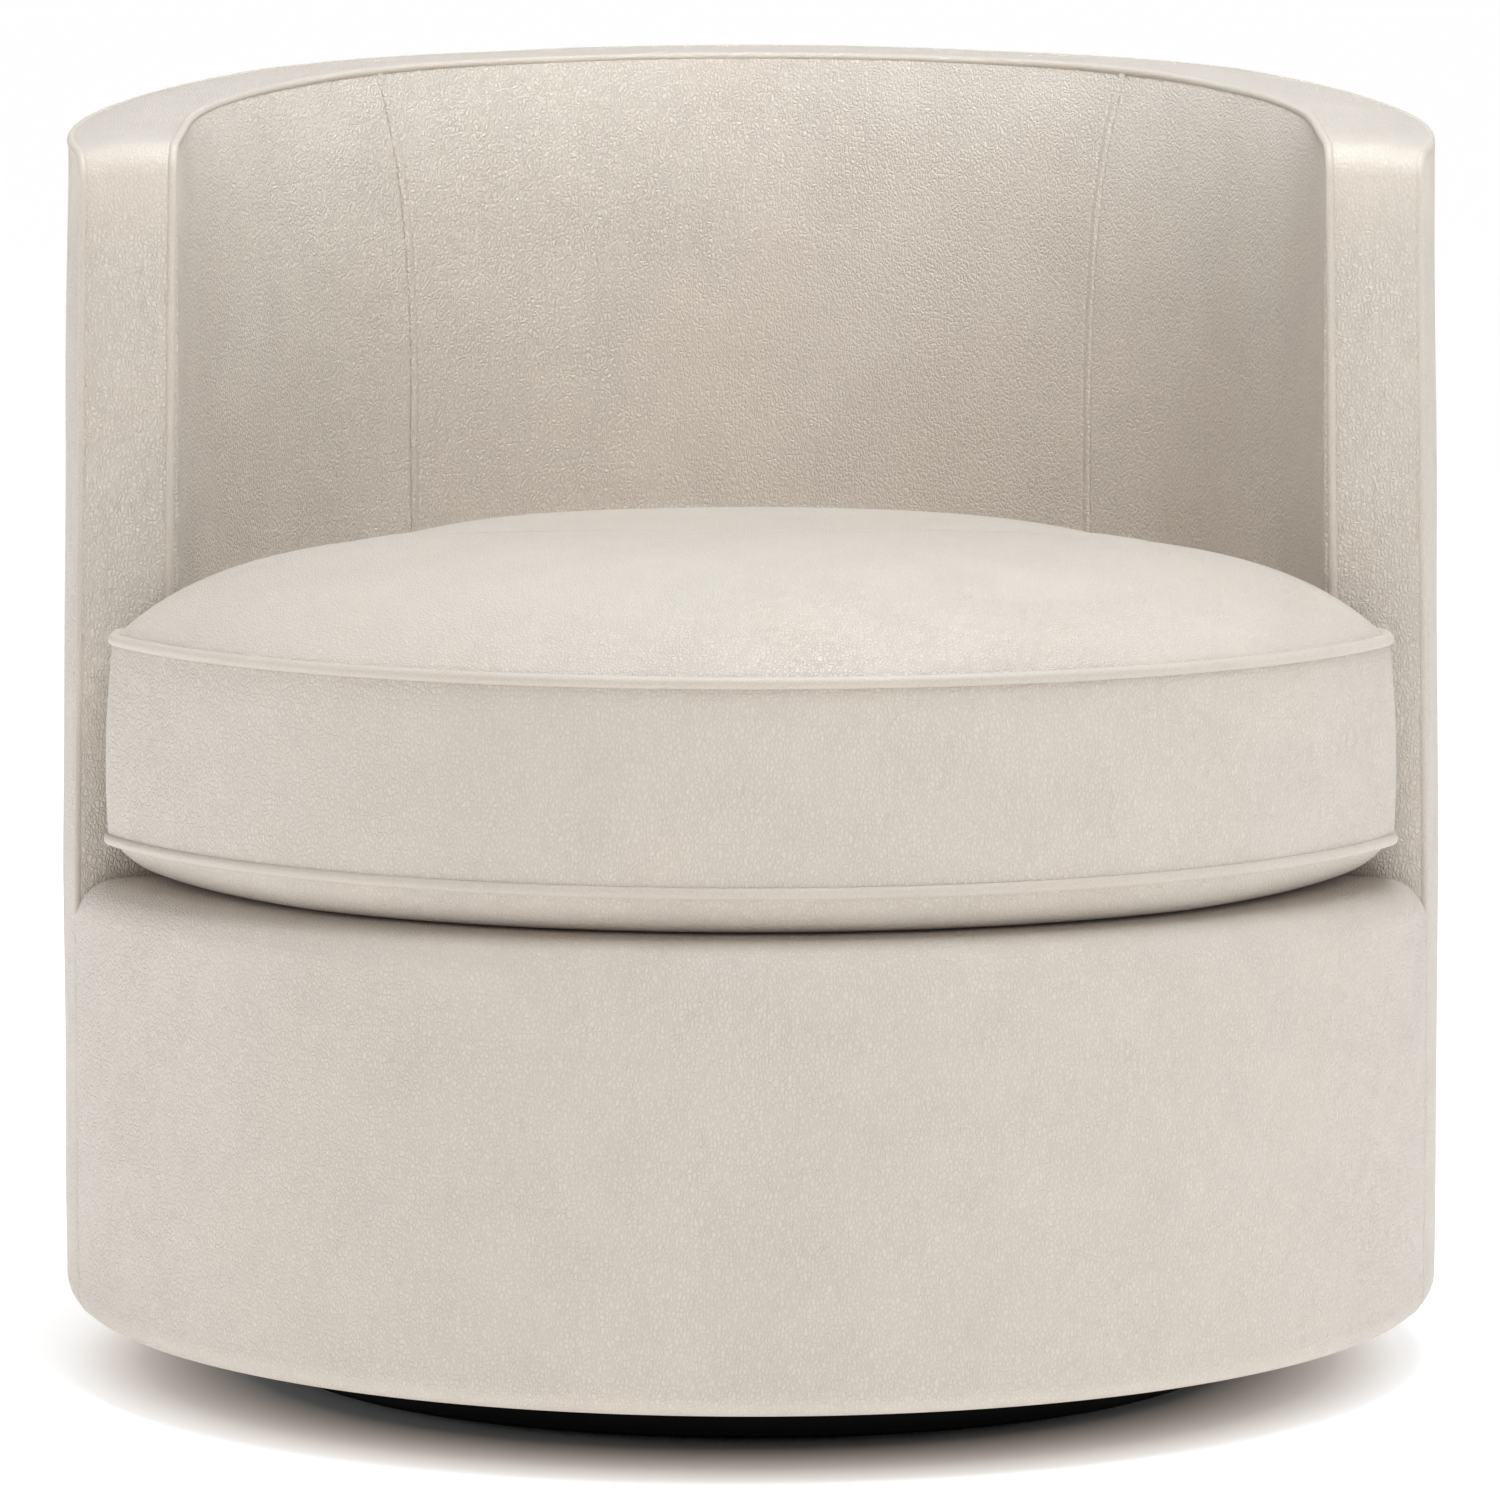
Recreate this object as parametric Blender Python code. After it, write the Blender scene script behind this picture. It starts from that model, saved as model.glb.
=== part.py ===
"""Barrel swivel chair in leather, with a loose T cushion, as the separate pieces it is made of.

Metres, +Z up. The chair opens towards -Y. The origin is on the floor, on the swivel axis.
The wall of the chair is a drum cut open at the front. A place in the wall is given by
  t      the way round: 0 at the back centre, -1 and 1 at the two widest points, more towards the arm fronts
  depth  how far in from the outer face
  z      the height
so every layer of the wall, from the outside leather to the inside leather, comes from the same few sizes.
"""
import math

import bpy
import numpy as np

# Fits
GAP = 0.0003               # left between two pieces that touch
LEATHER = 0.0015           # thickness of the leather covers
WELT_RADIUS = 0.0028       # covered cord in the seams
WELT_SINK = 0.0016         # how far a welt's centre lies inside both faces that it joins

# The drum
OUTER_RADIUS = 0.407       # outer leather face, below the seat
TOP_LEAN = 0.007           # how much smaller the radius is at the rim
LEAN_START_Z = 0.30        # height where the wall starts to lean in
RIM_Z = 0.731              # rim height over the swivel axis
RIM_SLOPE = 0.098          # rise of the rim per metre towards the back
WALL = 0.0695              # width of the rim
RIM_CROWN = 0.002          # how much the rim strip domes between its welts
ARM_FRONT = 0.108          # distance of the arm fronts in front of the axis
ARM_NOSE = 0.018           # rounding from the rim down to the arm fronts
UNDER_Z = 0.0374           # underside of the leather
EDGE_ROUND = 0.025         # rounding of the drum's lower edge
TURN_UNDER = 0.045         # how far in the leather is stapled under the bottom board

# Padding inside the wall
SWELL = 0.0365             # how much the inside pad swells past the rim
SWELL_REACH = 0.070        # height over which it swells
SWELL_FULL = 0.80          # the pad is full from the back to here, and fades to the arm fronts
SWELL_FRONT = 0.10         # share of the swelling left at the arm fronts
BACK_SEAM = 0.4956         # place of the two upright seams of the inside back
PAD_LEVELS = (0.0, 0.40, 0.66, 0.82, 0.92, 1.0)   # rows of points up the inside, closer under the rim
RIM_PAD = 0.008            # thickness of the pad under the rim strip

# Frame
LINER = 0.0032             # hardboard outside the frame
INNER_LINER = 0.002        # hardboard behind the foam
POST_DEPTH = 0.030         # posts, ribs and top rail, through the wall
POST_WIDTH = 0.036         # posts, round the wall
RAIL_HEIGHT = 0.018        # top rail plywood
BOARD_THICK = 0.018        # bottom board
RING_THICK = 0.018         # seat ring
RING_WIDTH = 0.1011        # width of the seat ring
POST_PLACES = (-0.66, -0.22, 0.22, 0.66)   # posts of the back; two more stand at the arm fronts
RIB_PLACES = (-0.62, 0.0, 0.62)            # ribs of the front panel, as shares of the way to its seams

# Front panel and seat deck
SEAT_EDGE_Z = 0.300        # top of the front roll, level with the deck
ROLL_RADIUS = 0.022        # roll at the top of the front panel
ROLL_DEPTH = 0.046         # how far in the front roll reaches
DECK_CLOTH = 0.0015
SPRING_WIRE = 0.0019       # radius of the sinuous spring wire
SPRING_PLACES = (-0.70, -0.35, 0.0, 0.35, 0.70)   # springs, as shares of the ring's inner radius
SPRING_SWING = 0.020       # half width of a spring's waves
SPRING_WAVES = 8           # full waves in the middle spring
CLIP_PLATE = 0.001
CLIP_WIDTH = 0.016
CLIP_LENGTH = 0.012

# Loose cushion
CUSHION_CLEAR = 0.006      # between the cushion's boxing and the inside of the wall
EAR_CLEAR = 0.0075         # between the cushion's ears and the arm fronts
EAR_INSET = 0.041          # the cushion's ears end this far inside the drum's widest point
CORNER_ROUND = 0.006       # rounding where the cushion turns round an arm front
EAR_ROUND = 0.014          # rounding of the ear's own corners
FRONT_SETBACK = 0.010      # the bowed front stays this far inside the drum's radius
BOTTOM_WELT_Z = 0.3266
TOP_WELT_Z = 0.4414
CUSHION_CROWN = 0.066      # rise of the top panel over its welt
BOXING_BULGE = 0.003
PANEL_INSET = 0.0042       # a panel starts this far inside its welt
CROWN_CENTRE_Y = -0.115    # the outline shrinks towards this point
ZIP_WIDTH = 0.026
ZIP_REACH = 4              # outline points on each side of the back centre

# Base and swivel
PLINTH_RADIUS = 0.2903
PLINTH_CHAMFER = 0.002
GLIDE_RADIUS = 0.014
GLIDE_HEIGHT = 0.004
GLIDE_INSET = 0.0453       # the glides stand this far inside the plinth's edge
GLIDES = 4
PLATE_THICK = 0.002
RACE_RADIUS = 0.120
PLATE_RIM = 0.030          # the plates reach this far outside the race
PLATE_INSIDE = 0.060       # and this far inside it
BALL_RADIUS = 0.003
BALLS = 10
BALL_GAP = 0.0005          # between a ball and its race
RACE_LIP = 0.0009          # the races stop this far from the mid plane
RACE_GROOVE_TOP = 0.0040   # half width of the groove at its mouth
RACE_GROOVE_FOOT = 0.0014  # half width of the groove at its foot
RACE_WIDTH = 0.0080        # half width of a race ring
CAGE_WIDTH = 0.0050        # half width of the ball cage
CAGE_THICK = 0.001
PLATE_SPACE = 0.0076       # between the two plates
DUST_ROOM = 0.065          # between the swivel plate and the opening of the dust cover
DUST_CLEAR = 0.003         # between the dust cover and the turned-under leather
DUST_CLOTH = 0.0009

# Fineness of the solids
WALL_STEP = 0.086          # longest step round the wall
FRONT_STEP = 0.15          # longest step along the front panel
STEPS_NOSE = 4
ROUND_STEPS = 32
CUSHION_STEPS = 8          # steps along half of the cushion's back and sides, and of its front
WELT_SIDES = 6

# Sizes that follow from the ones above
ARC = math.pi / 2 * OUTER_RADIUS
UNDER_LEATHER = LEATHER + GAP
LINER_IN = UNDER_LEATHER + LINER
POST_OUT = LINER_IN + GAP
POST_IN = POST_OUT + POST_DEPTH
FOAM_OUT = POST_IN + GAP + INNER_LINER + GAP
WELT_ROOM = WELT_SINK + WELT_RADIUS + GAP
PAD_IN = UNDER_LEATHER + RIM_PAD
CORE_TOP_DROP = PAD_IN + GAP
RAIL_UNDER = CORE_TOP_DROP + RAIL_HEIGHT
CORE_FRONT = ARM_FRONT - PAD_IN - GAP
FRONT_LINE = ARM_FRONT - WELT_SINK + WELT_RADIUS + GAP
BOARD_Z = UNDER_Z + UNDER_LEATHER
BOARD_TOP = BOARD_Z + BOARD_THICK
RING_TOP = SEAT_EDGE_Z - ROLL_RADIUS
RING_OUTER = math.sqrt((OUTER_RADIUS - POST_IN) ** 2 - (POST_WIDTH / 2) ** 2) - GAP
RING_INNER = RING_OUTER - RING_WIDTH
SPRING_END = RING_INNER + CLIP_LENGTH
EAR_X = OUTER_RADIUS - EAR_INSET
CUSHION_FRONT = OUTER_RADIUS - FRONT_SETBACK
GLIDE_CIRCLE = PLINTH_RADIUS - GLIDE_INSET
PLATE_RADIUS = RACE_RADIUS + PLATE_RIM
PLATE_HOLE = RACE_RADIUS - PLATE_INSIDE
DUST_OUTER = OUTER_RADIUS - TURN_UNDER - DUST_CLEAR
DUST_HOLE = PLATE_RADIUS + DUST_ROOM
STRIP_LOW = SEAT_EDGE_Z + 2 * GAP
PLATE_TOP = BOARD_Z - GAP
MID_PLANE = PLATE_TOP - PLATE_THICK - PLATE_SPACE / 2
PLINTH_TOP = MID_PLANE - PLATE_SPACE / 2 - PLATE_THICK - GAP
SPRING_Z = RING_TOP + GAP + CLIP_PLATE + GAP + SPRING_WIRE
PAD_UNDER = SPRING_Z + SPRING_WIRE + GAP
CORE_INSET = LEATHER + 2 * GAP
BOTTOM_DROP = BOTTOM_WELT_Z - SEAT_EDGE_Z - GAP


# Making objects

def clear_scene():
    """Remove what the scene holds at the start."""
    for old in list(bpy.data.objects):
        bpy.data.objects.remove(old, do_unlink=True)


def finish(name, colour, roughness, metallic=0.0):
    """A material with one colour, roughness and metallic value."""
    made = bpy.data.materials.new(name)
    made.use_nodes = True
    shader = made.node_tree.nodes["Principled BSDF"]
    shader.inputs["Base Color"].default_value = (*colour, 1.0)
    shader.inputs["Roughness"].default_value = roughness
    shader.inputs["Metallic"].default_value = metallic
    return made


def body(name):
    """An empty on the swivel axis that carries the pieces of one moving body."""
    holder = bpy.data.objects.new(name, None)
    bpy.context.collection.objects.link(holder)
    return holder


def solid_volume(points, faces):
    """Signed volume of a closed mesh, from fans over its faces."""
    total = 0.0
    for face in faces:
        first = points[face[0]]
        for second, third in zip(face[1:-1], face[2:]):
            total += float(np.dot(first, np.cross(points[second], points[third])))
    return total / 6


def place(name, points, faces, material, parent, sharp=35):
    """Link a closed mesh as an object, with its faces pointing out, shaded smooth between sharp edges."""
    if solid_volume(points, faces) < 0:
        faces = [face[::-1] for face in faces]
    mesh = bpy.data.meshes.new(name)
    mesh.from_pydata([tuple(point) for point in points], [], faces)
    mesh.materials.append(material)
    mesh.shade_smooth()
    mesh.set_sharp_from_angle(angle=math.radians(sharp))
    made = bpy.data.objects.new(name, mesh)
    made.parent = parent
    bpy.context.collection.objects.link(made)
    return made


def loft(name, loops, material, parent, closed=False, strip_ends=False):
    """A solid through closed loops of points: loops[k] is the k-th cross-section.

    With strip_ends the ends are rows of quads between the two halves of a loop, for thin sections, and
    each bent quad is cut along the same diagonal on both halves, so that neighbouring layers stay parallel.
    """
    count, size = loops.shape[:2]
    faces = []
    for k in range(count if closed else count - 1):
        here, there = k * size, (k + 1) % count * size
        for j in range(size):
            side = (j + 1) % size
            quad = (here + j, here + side, there + side, there + j)
            if not strip_ends:
                faces.append(quad)
            elif j < size // 2:
                faces.extend([(quad[0], quad[1], quad[2]), (quad[0], quad[2], quad[3])])
            else:
                faces.extend([(quad[0], quad[1], quad[3]), (quad[1], quad[2], quad[3])])
    if not closed:
        last = (count - 1) * size
        if strip_ends:
            for j in range(size // 2 - 1):
                faces.append((j + 1, j, size - 1 - j, size - 2 - j))
                faces.append((last + j, last + j + 1, last + size - 2 - j, last + size - 1 - j))
        else:
            faces.append(tuple(range(size))[::-1])
            faces.append(tuple(last + j for j in range(size)))
    return place(name, loops.reshape(-1, 3), faces, material, parent)


def sheet(name, outer, inner, material, parent, closed=False):
    """A solid between two matching grids of points."""
    return loft(name, np.concatenate([outer, inner[:, ::-1]], axis=1), material, parent, closed, True)


def revolve(name, profile, material, parent, steps=ROUND_STEPS, centre=(0.0, 0.0)):
    """Turn a closed profile of (radius, height) points, clear of the axis, into a ring."""
    angle = np.arange(steps) / steps * 2 * math.pi
    profile = np.array(profile)
    loops = np.stack([centre[0] + np.outer(np.cos(angle), profile[:, 0]),
                      centre[1] + np.outer(np.sin(angle), profile[:, 0]),
                      np.tile(profile[:, 1], (steps, 1))], axis=2)
    return loft(name, loops, material, parent, closed=True)


def disc(name, profile, material, parent, steps=ROUND_STEPS, centre=(0.0, 0.0)):
    """Stack circles of (radius, height) into a solid with flat ends."""
    angle = np.arange(steps) / steps * 2 * math.pi
    loops = np.array([[(centre[0] + r * math.cos(a), centre[1] + r * math.sin(a), z) for a in angle]
                      for r, z in profile])
    return loft(name, loops, material, parent)


def tube(name, path, radius, material, parent, sides=WELT_SIDES, closed=False):
    """A round cord along a path; its section stays upright to the path and doesn't twist."""
    path = np.asarray(path, dtype=float)
    ahead, behind = np.roll(path, -1, axis=0), np.roll(path, 1, axis=0)
    if not closed:
        ahead[-1], behind[0] = path[-1], path[0]
    run = ahead - behind
    run /= np.linalg.norm(run, axis=1)[:, None]
    start = np.array([0.0, 0.0, 1.0])
    if abs(run[0] @ start) > 0.9:
        start = np.array([0.0, 1.0, 0.0])
    across = []
    for heading in run:
        start = start - heading * (start @ heading)
        start /= np.linalg.norm(start)
        across.append(start)
    across = np.array(across)
    beside = np.cross(run, across)
    angle = np.arange(sides) / sides * 2 * math.pi
    loops = (path[:, None] + radius * (np.cos(angle)[None, :, None] * across[:, None]
                                       + np.sin(angle)[None, :, None] * beside[:, None]))
    return loft(name, loops, material, parent, closed)


# The wall

def outer_radius(z):
    """Radius of the outer face at a height: straight below the seat, leaning in above it."""
    return OUTER_RADIUS - TOP_LEAN * np.clip((z - LEAN_START_Z) / (RIM_Z - LEAN_START_Z), 0, None)


def rim_height(y):
    """Height of the rim, which rises towards the back."""
    return RIM_Z + RIM_SLOPE * y


def turn_of(y):
    """The place round the wall of a distance y in front of the axis."""
    return 1 + y / ARC


def wall(t, depth, z):
    """Points in the wall. Past the widest points the outer face stays on its circle and the inner one
    runs straight forward, so both end at the same distance in front of the axis. The layers close up
    between the rounded lower edge and the inner welt."""
    t, depth, z = np.broadcast_arrays(t, depth, z)
    radius = outer_radius(z) - depth
    angle = np.clip(np.abs(t), 0, 1) * math.pi / 2
    front = np.clip(np.abs(t) - 1, 0, None) * ARC
    bowed = np.sqrt(np.clip(radius ** 2 - front ** 2, 0, None))
    straight = np.clip((depth - EDGE_ROUND) / (WALL - WELT_ROOM - EDGE_ROUND), 0, 1)
    x = np.where(front > 0, bowed + straight * (radius - bowed), radius * np.sin(angle))
    y = np.where(front > 0, -front, radius * np.cos(angle))
    return np.stack([np.sign(t) * x, y, z], axis=-1)


def rim_y(t, depth):
    """How far back a place on the rim lies."""
    angle = np.clip(np.abs(t), 0, 1) * math.pi / 2
    front = np.clip(np.abs(t) - 1, 0, None) * ARC
    return np.where(front > 0, -front, (outer_radius(RIM_Z) - depth) * np.cos(angle))


def under_rim(t, depth, drop):
    """Points in the wall at a drop below the rim."""
    return wall(t, depth, rim_height(rim_y(t, depth)) - drop)


def cover_top(t, depth):
    """Height of the upper edge of a cover beside a welt: under the rim, and round the nose of the arms."""
    reach = ARM_NOSE - WELT_ROOM
    past = np.clip((np.abs(t) - 1) * ARC - (ARM_FRONT - ARM_NOSE), 0, reach)
    return rim_height(rim_y(t, depth)) - WELT_ROOM - reach + np.sqrt(reach ** 2 - past ** 2)


def pad_depth(t, below):
    """Depth of the inside face: it swells away from the rim, less towards the arm fronts."""
    fade = np.clip((np.abs(t) - SWELL_FULL) / (turn_of(ARM_FRONT) - SWELL_FULL), 0, 1)
    share = 1 - (1 - SWELL_FRONT) * (3 * fade ** 2 - 2 * fade ** 3)
    return WALL + SWELL * share * (1 - np.exp(-np.clip(below, 0, None) / SWELL_REACH))


def inside(t, z, inset):
    """Points on the inside face at a height, moved out into the wall by inset."""
    return wall(t, pad_depth(t, rim_height(rim_y(t, WALL)) - z) - inset, z)


def filled(marks, step):
    """The marks in order, with even steps between them no longer than step."""
    marks = sorted(marks)
    rows = []
    for here, there in zip(marks[:-1], marks[1:]):
        count = max(1, math.ceil((there - here) / step - 1e-6))
        rows.extend(np.linspace(here, there, count + 1)[:-1])
    return np.array(rows + [marks[-1]])


def back_places():
    """Places from one widest point to the other, with one at each seam and each edge of a post, so that
    the flat facets of all layers lie parallel."""
    half = POST_WIDTH / 2 / ARC
    edges = [middle + side * half for middle in POST_PLACES for side in (-1, 1)]
    return filled([-1, -BACK_SEAM, BACK_SEAM, 1] + edges, WALL_STEP)


def places(front):
    """Places round the wall from arm front to arm front, each arm ending front metres before the axis."""
    arm = [CORE_FRONT, CORE_FRONT - POST_WIDTH, (CORE_FRONT - POST_WIDTH) / 2]
    if front > CORE_FRONT + GAP:
        arm = [front] + arm
    arm = turn_of(np.array(arm))
    return np.concatenate([-arm, back_places(), arm[::-1]])


def front_places():
    """Shares along the front panel from seam to seam, with one at each edge of a rib."""
    edges = [middle + side * rib_half() for middle in RIB_PLACES for side in (-1, 1)]
    return filled([-1, 1] + edges, FRONT_STEP)


def rib_half():
    """Half the width of a front rib, as a share of the way from the middle to a seam."""
    return POST_WIDTH / 2 / (OUTER_RADIUS * math.acos(FRONT_LINE / OUTER_RADIUS))


def lower_edge(offset):
    """Depths and heights round the drum's lower edge, offset inside its face, from below to the side."""
    angle = np.linspace(-math.pi / 2, 0, 4)
    return (EDGE_ROUND - (EDGE_ROUND - offset) * np.cos(angle),
            UNDER_Z + EDGE_ROUND + (EDGE_ROUND - offset) * np.sin(angle))


def skirt(offset, uppers):
    """Profile of an outer cover from the staples under the board, round the lower edge, and up.

    uppers holds the heights above the edge, each one number or one for each place round the wall.
    Returns depths, and heights with a row for each place.
    """
    depth, height = lower_edge(offset)
    rows = [height[0], *height, *uppers]
    size = max(np.size(row) for row in rows)
    heights = np.stack([np.broadcast_to(row, size) for row in rows], axis=1)
    return np.concatenate([[TURN_UNDER], depth, np.full(len(uppers), offset)]), heights


def front_points(u, depth, z):
    """Points in the front panel: u from -1 to 1 goes from seam to seam, and every layer ends on one line."""
    u, depth, z = np.broadcast_arrays(u, depth, z)
    radius = OUTER_RADIUS - depth
    angle = u * np.arccos(FRONT_LINE / radius)
    return np.stack([radius * np.sin(angle), -radius * np.cos(angle), z], axis=-1)


def strip_path(offset, low, nose=ARM_NOSE):
    """The run of the rim strip: up one arm front, round its nose, round the rim and down the other.

    Returns places round the wall and drops below the rim; offset is how far inside the strip's face, and
    nose the radius that the face has where the rim turns down.
    """
    nose_z = rim_height(-(ARM_FRONT - nose)) - nose
    angle = np.linspace(math.pi / 2, 0, STEPS_NOSE + 1)
    front = ARM_FRONT - nose + (nose - offset) * np.sin(angle)
    height = nose_z + (nose - offset) * np.cos(angle)
    up = np.linspace(low, nose_z, 4)[:-1]
    front = np.concatenate([np.full(len(up), ARM_FRONT - offset), front, [(ARM_FRONT - nose) / 2]])
    height = np.concatenate([up, height, [rim_height(-front[-1]) - offset]])
    arm = turn_of(front)
    drop = rim_height(-front) - height
    back = back_places()
    return (np.concatenate([-arm, back, arm[::-1]]),
            np.concatenate([drop, np.full(len(back), offset), drop[::-1]]))


def strip(offset, low, depths, crown, nose=ARM_NOSE):
    """Points of a layer of the rim strip, across its width and along its run."""
    rows = []
    for depth, share in zip(depths, np.linspace(0, 1, len(depths))):
        t, drop = strip_path(offset - crown * math.sin(math.pi * share), low, nose)
        rows.append(under_rim(t, depth, drop))
    return np.stack(rows, axis=1)


# Frame

def board_loops():
    """Outlines of the bottom board from its underside up its rounded edge to its top.

    The board follows the leather, and steps in behind the outer welt at the two front seams.
    """
    t = places(ARM_FRONT - WELT_ROOM)
    u = front_places()
    depth, height = lower_edge(UNDER_LEATHER)
    keep = height < BOARD_TOP - GAP
    angle = np.arccos(np.clip((EDGE_ROUND - depth[keep]) / (EDGE_ROUND - UNDER_LEATHER), 0, 1))
    levels = list(zip(depth[keep], height[keep], np.cos(angle)))
    levels.append((levels[-1][0], BOARD_TOP, levels[-1][2]))
    loops = []
    for depth, z, lean in levels:
        notch = depth + (WELT_ROOM + 4 * GAP - UNDER_LEATHER) * lean
        right = front_points(1.0, notch, z)[None]
        loops.append(np.concatenate([wall(t, depth, z), wall(t[-1:], notch, z), right,
                                     front_points(u[::-1], depth, z), right * np.array([-1, 1, 1]),
                                     wall(t[:1], notch, z)]))
    return np.array(loops)


def make_frame(chair, wood, board):
    """Bottom board, seat ring, posts, ribs, top rail and the hardboard liners."""
    loft("bottom_board", board_loops(), wood, chair)
    revolve("seat_ring", [(RING_INNER, RING_TOP - RING_THICK), (RING_OUTER, RING_TOP - RING_THICK),
                          (RING_OUTER, RING_TOP), (RING_INNER, RING_TOP)], wood, chair)
    half = POST_WIDTH / 2 / ARC
    arm = turn_of(CORE_FRONT)
    runs = [(-arm, -arm + 2 * half), *((m - half, m + half) for m in POST_PLACES), (arm - 2 * half, arm)]
    for number, run in enumerate(runs, 1):
        t = np.array(run)[:, None]
        layers = []
        for depth in (POST_OUT, POST_IN):
            head = rim_height(rim_y(t, depth)) - RAIL_UNDER - GAP
            z = np.concatenate([np.full((2, 1), BOARD_TOP + GAP), np.full((2, 1), LEAN_START_Z), head], axis=1)
            layers.append(wall(t, depth, z))
        sheet(f"post_{number}", *layers, wood, chair)
    for number, middle in enumerate(RIB_PLACES, 1):
        u = np.array([middle - rib_half(), middle + rib_half()])[:, None]
        depths = np.array([POST_OUT, POST_IN])
        sheet(f"front_rib_{number}", front_points(u, depths, RING_TOP),
              front_points(u, depths, BOARD_TOP + GAP), wood, chair)
    t = places(CORE_FRONT)[:, None]
    depths = np.array([POST_OUT, POST_IN])
    sheet("top_rail", under_rim(t, depths, CORE_TOP_DROP), under_rim(t, depths, RAIL_UNDER), wood, chair)
    for name, low, out, thick in (("outer_liner", UNDER_Z + EDGE_ROUND, UNDER_LEATHER, LINER),
                                  ("inner_liner", RING_TOP + GAP, POST_IN + GAP, INNER_LINER)):
        top = rim_height(rim_y(t, out)) - CORE_TOP_DROP
        z = np.concatenate([np.full(top.shape, low), np.full(top.shape, LEAN_START_Z), top], axis=1)
        sheet(name, wall(t, out, z), wall(t, out + thick, z), board, chair)
    u = front_places()[:, None]
    z = np.array([UNDER_Z + EDGE_ROUND, RING_TOP])
    sheet("front_liner", front_points(u, UNDER_LEATHER, z), front_points(u, LINER_IN, z), board, chair)


# Springs and deck

def spring_path(x):
    """A sinuous wire from the front clip to the back clip: even waves, straight for the last of its run."""
    reach = math.sqrt(SPRING_END ** 2 - x ** 2)
    waves = max(2, round(SPRING_WAVES * reach / SPRING_END))
    share = np.linspace(0, 1, waves * 5 + 1)
    swing = SPRING_SWING * np.sin(2 * math.pi * waves * share)
    ends = np.clip(np.minimum(share, 1 - share) * waves * 2.5 - 0.5, 0, 1)
    return np.stack([x + swing * ends, -reach + 2 * reach * share, np.full(len(share), SPRING_Z)], axis=1)


def make_springs(chair, steel):
    """Five springs across the seat ring, each end in a clip on the ring."""
    for number, place in enumerate(SPRING_PLACES, 1):
        x = place * RING_INNER
        path = spring_path(x)
        tube(f"seat_spring_{number}", path, SPRING_WIRE, steel, chair, 4)
        for side, end in (("front", path[0]), ("back", path[-1])):
            out = math.copysign(1, end[1])
            low = RING_TOP + GAP
            plate = low + CLIP_PLATE
            hook = SPRING_Z + SPRING_WIRE
            back = end[1] + out * GAP
            outline = [(back + out * CLIP_PLATE, low), (back - out * CLIP_LENGTH, low),
                       (back - out * CLIP_LENGTH, plate), (back, plate), (back, hook),
                       (back + out * CLIP_PLATE, hook)]
            loops = np.array([[(x + s * CLIP_WIDTH / 2, y, z) for y, z in outline] for s in (-1, 1)])
            loft(f"spring_clip_{side}_{number}", loops, steel, chair)


def fillet(before, corner, after, radius, steps):
    """Points of an arc that rounds a corner between two straight runs."""
    before, corner, after = (np.array(point, dtype=float) for point in (before, corner, after))
    back = (before - corner) / np.linalg.norm(before - corner)
    on = (after - corner) / np.linalg.norm(after - corner)
    half = math.acos(np.clip(back @ on, -1, 1)) / 2
    middle = (back + on) / np.linalg.norm(back + on)
    centre = corner + middle * radius / math.sin(half)
    start = corner + back * radius / math.tan(half) - centre
    end = corner + on * radius / math.tan(half) - centre
    spread = math.acos(np.clip(start @ end / radius ** 2, -1, 1))
    share = np.linspace(0, 1, steps)
    return [centre + (math.sin((1 - s) * spread) * start + math.sin(s * spread) * end) / math.sin(spread)
            for s in share]


def well_depth(t):
    """The deepest that the inside face reaches at a place round the wall, over the seat's height."""
    z = np.linspace(SEAT_EDGE_Z, RIM_Z - WALL, 12)
    below = rim_height(rim_y(t, WALL))[:, None] - z
    return np.max(OUTER_RADIUS - outer_radius(z) + pad_depth(t[:, None], below), axis=1)


def tee_outline(clear, line, front, t, share, ear=None):
    """Outline of the seat seen from above: along the inside of the wall, round the arm fronts, bowed front.

    clear is kept to the wall, line is the distance of the ears' back edge, front the radius of the bow,
    and ear the half width over the ears, or None where the bow runs right to the ears' back edge. t are
    the places of its points along the right wall from 0 on, and share those along the bow from its end to 0.
    """
    along = wall(t, well_depth(t) + clear, LEAN_START_Z)[:, :2]
    inner = (along[-1][0], -line)
    side = [tuple(point) for point in along[:-1]]
    if ear is None:
        side += [tuple(along[-1]), inner]
        corners = [(math.sqrt(front ** 2 - line ** 2), -line)]
    else:
        tip = math.asin(ear / front)
        back_corner = (ear, -line)
        front_corner = (ear, -front * math.cos(tip))
        side += fillet(tuple(along[-2]), inner, back_corner, CORNER_ROUND, 2)
        next_bow = (front * math.sin(tip - 0.1), -front * math.cos(tip - 0.1))
        corners = (fillet(inner, back_corner, front_corner, EAR_ROUND, 3)
                   + fillet(back_corner, front_corner, next_bow, EAR_ROUND, 3))
    start = math.asin(min(corners[-1][0] / front, 1.0))
    bow = [(front * math.sin(start * s), -front * math.cos(start * s)) for s in share]
    half = np.array([tuple(point)[:2] for point in side + corners + bow])
    other = half[1:-1][::-1] * np.array([-1, 1])
    return np.concatenate([half, other])


def inset(outline, distance):
    """The outline with every side moved in by a distance, out where it is negative."""
    side = np.roll(outline, -1, axis=0) - outline
    side /= np.linalg.norm(side, axis=1)[:, None]
    inward = np.column_stack([side[:, 1], -side[:, 0]])
    before = np.roll(inward, 1, axis=0)
    share = 1 + np.sum(inward * before, axis=1)[:, None]
    return outline + distance * (inward + before) / share


def ring_at(outline, z, scale=1.0):
    """The outline at a height, shrunk towards the crown centre."""
    centre = np.array([0.0, CROWN_CENTRE_Y])
    return np.column_stack([centre + (outline - centre) * scale, np.full(len(outline), z)])


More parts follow.
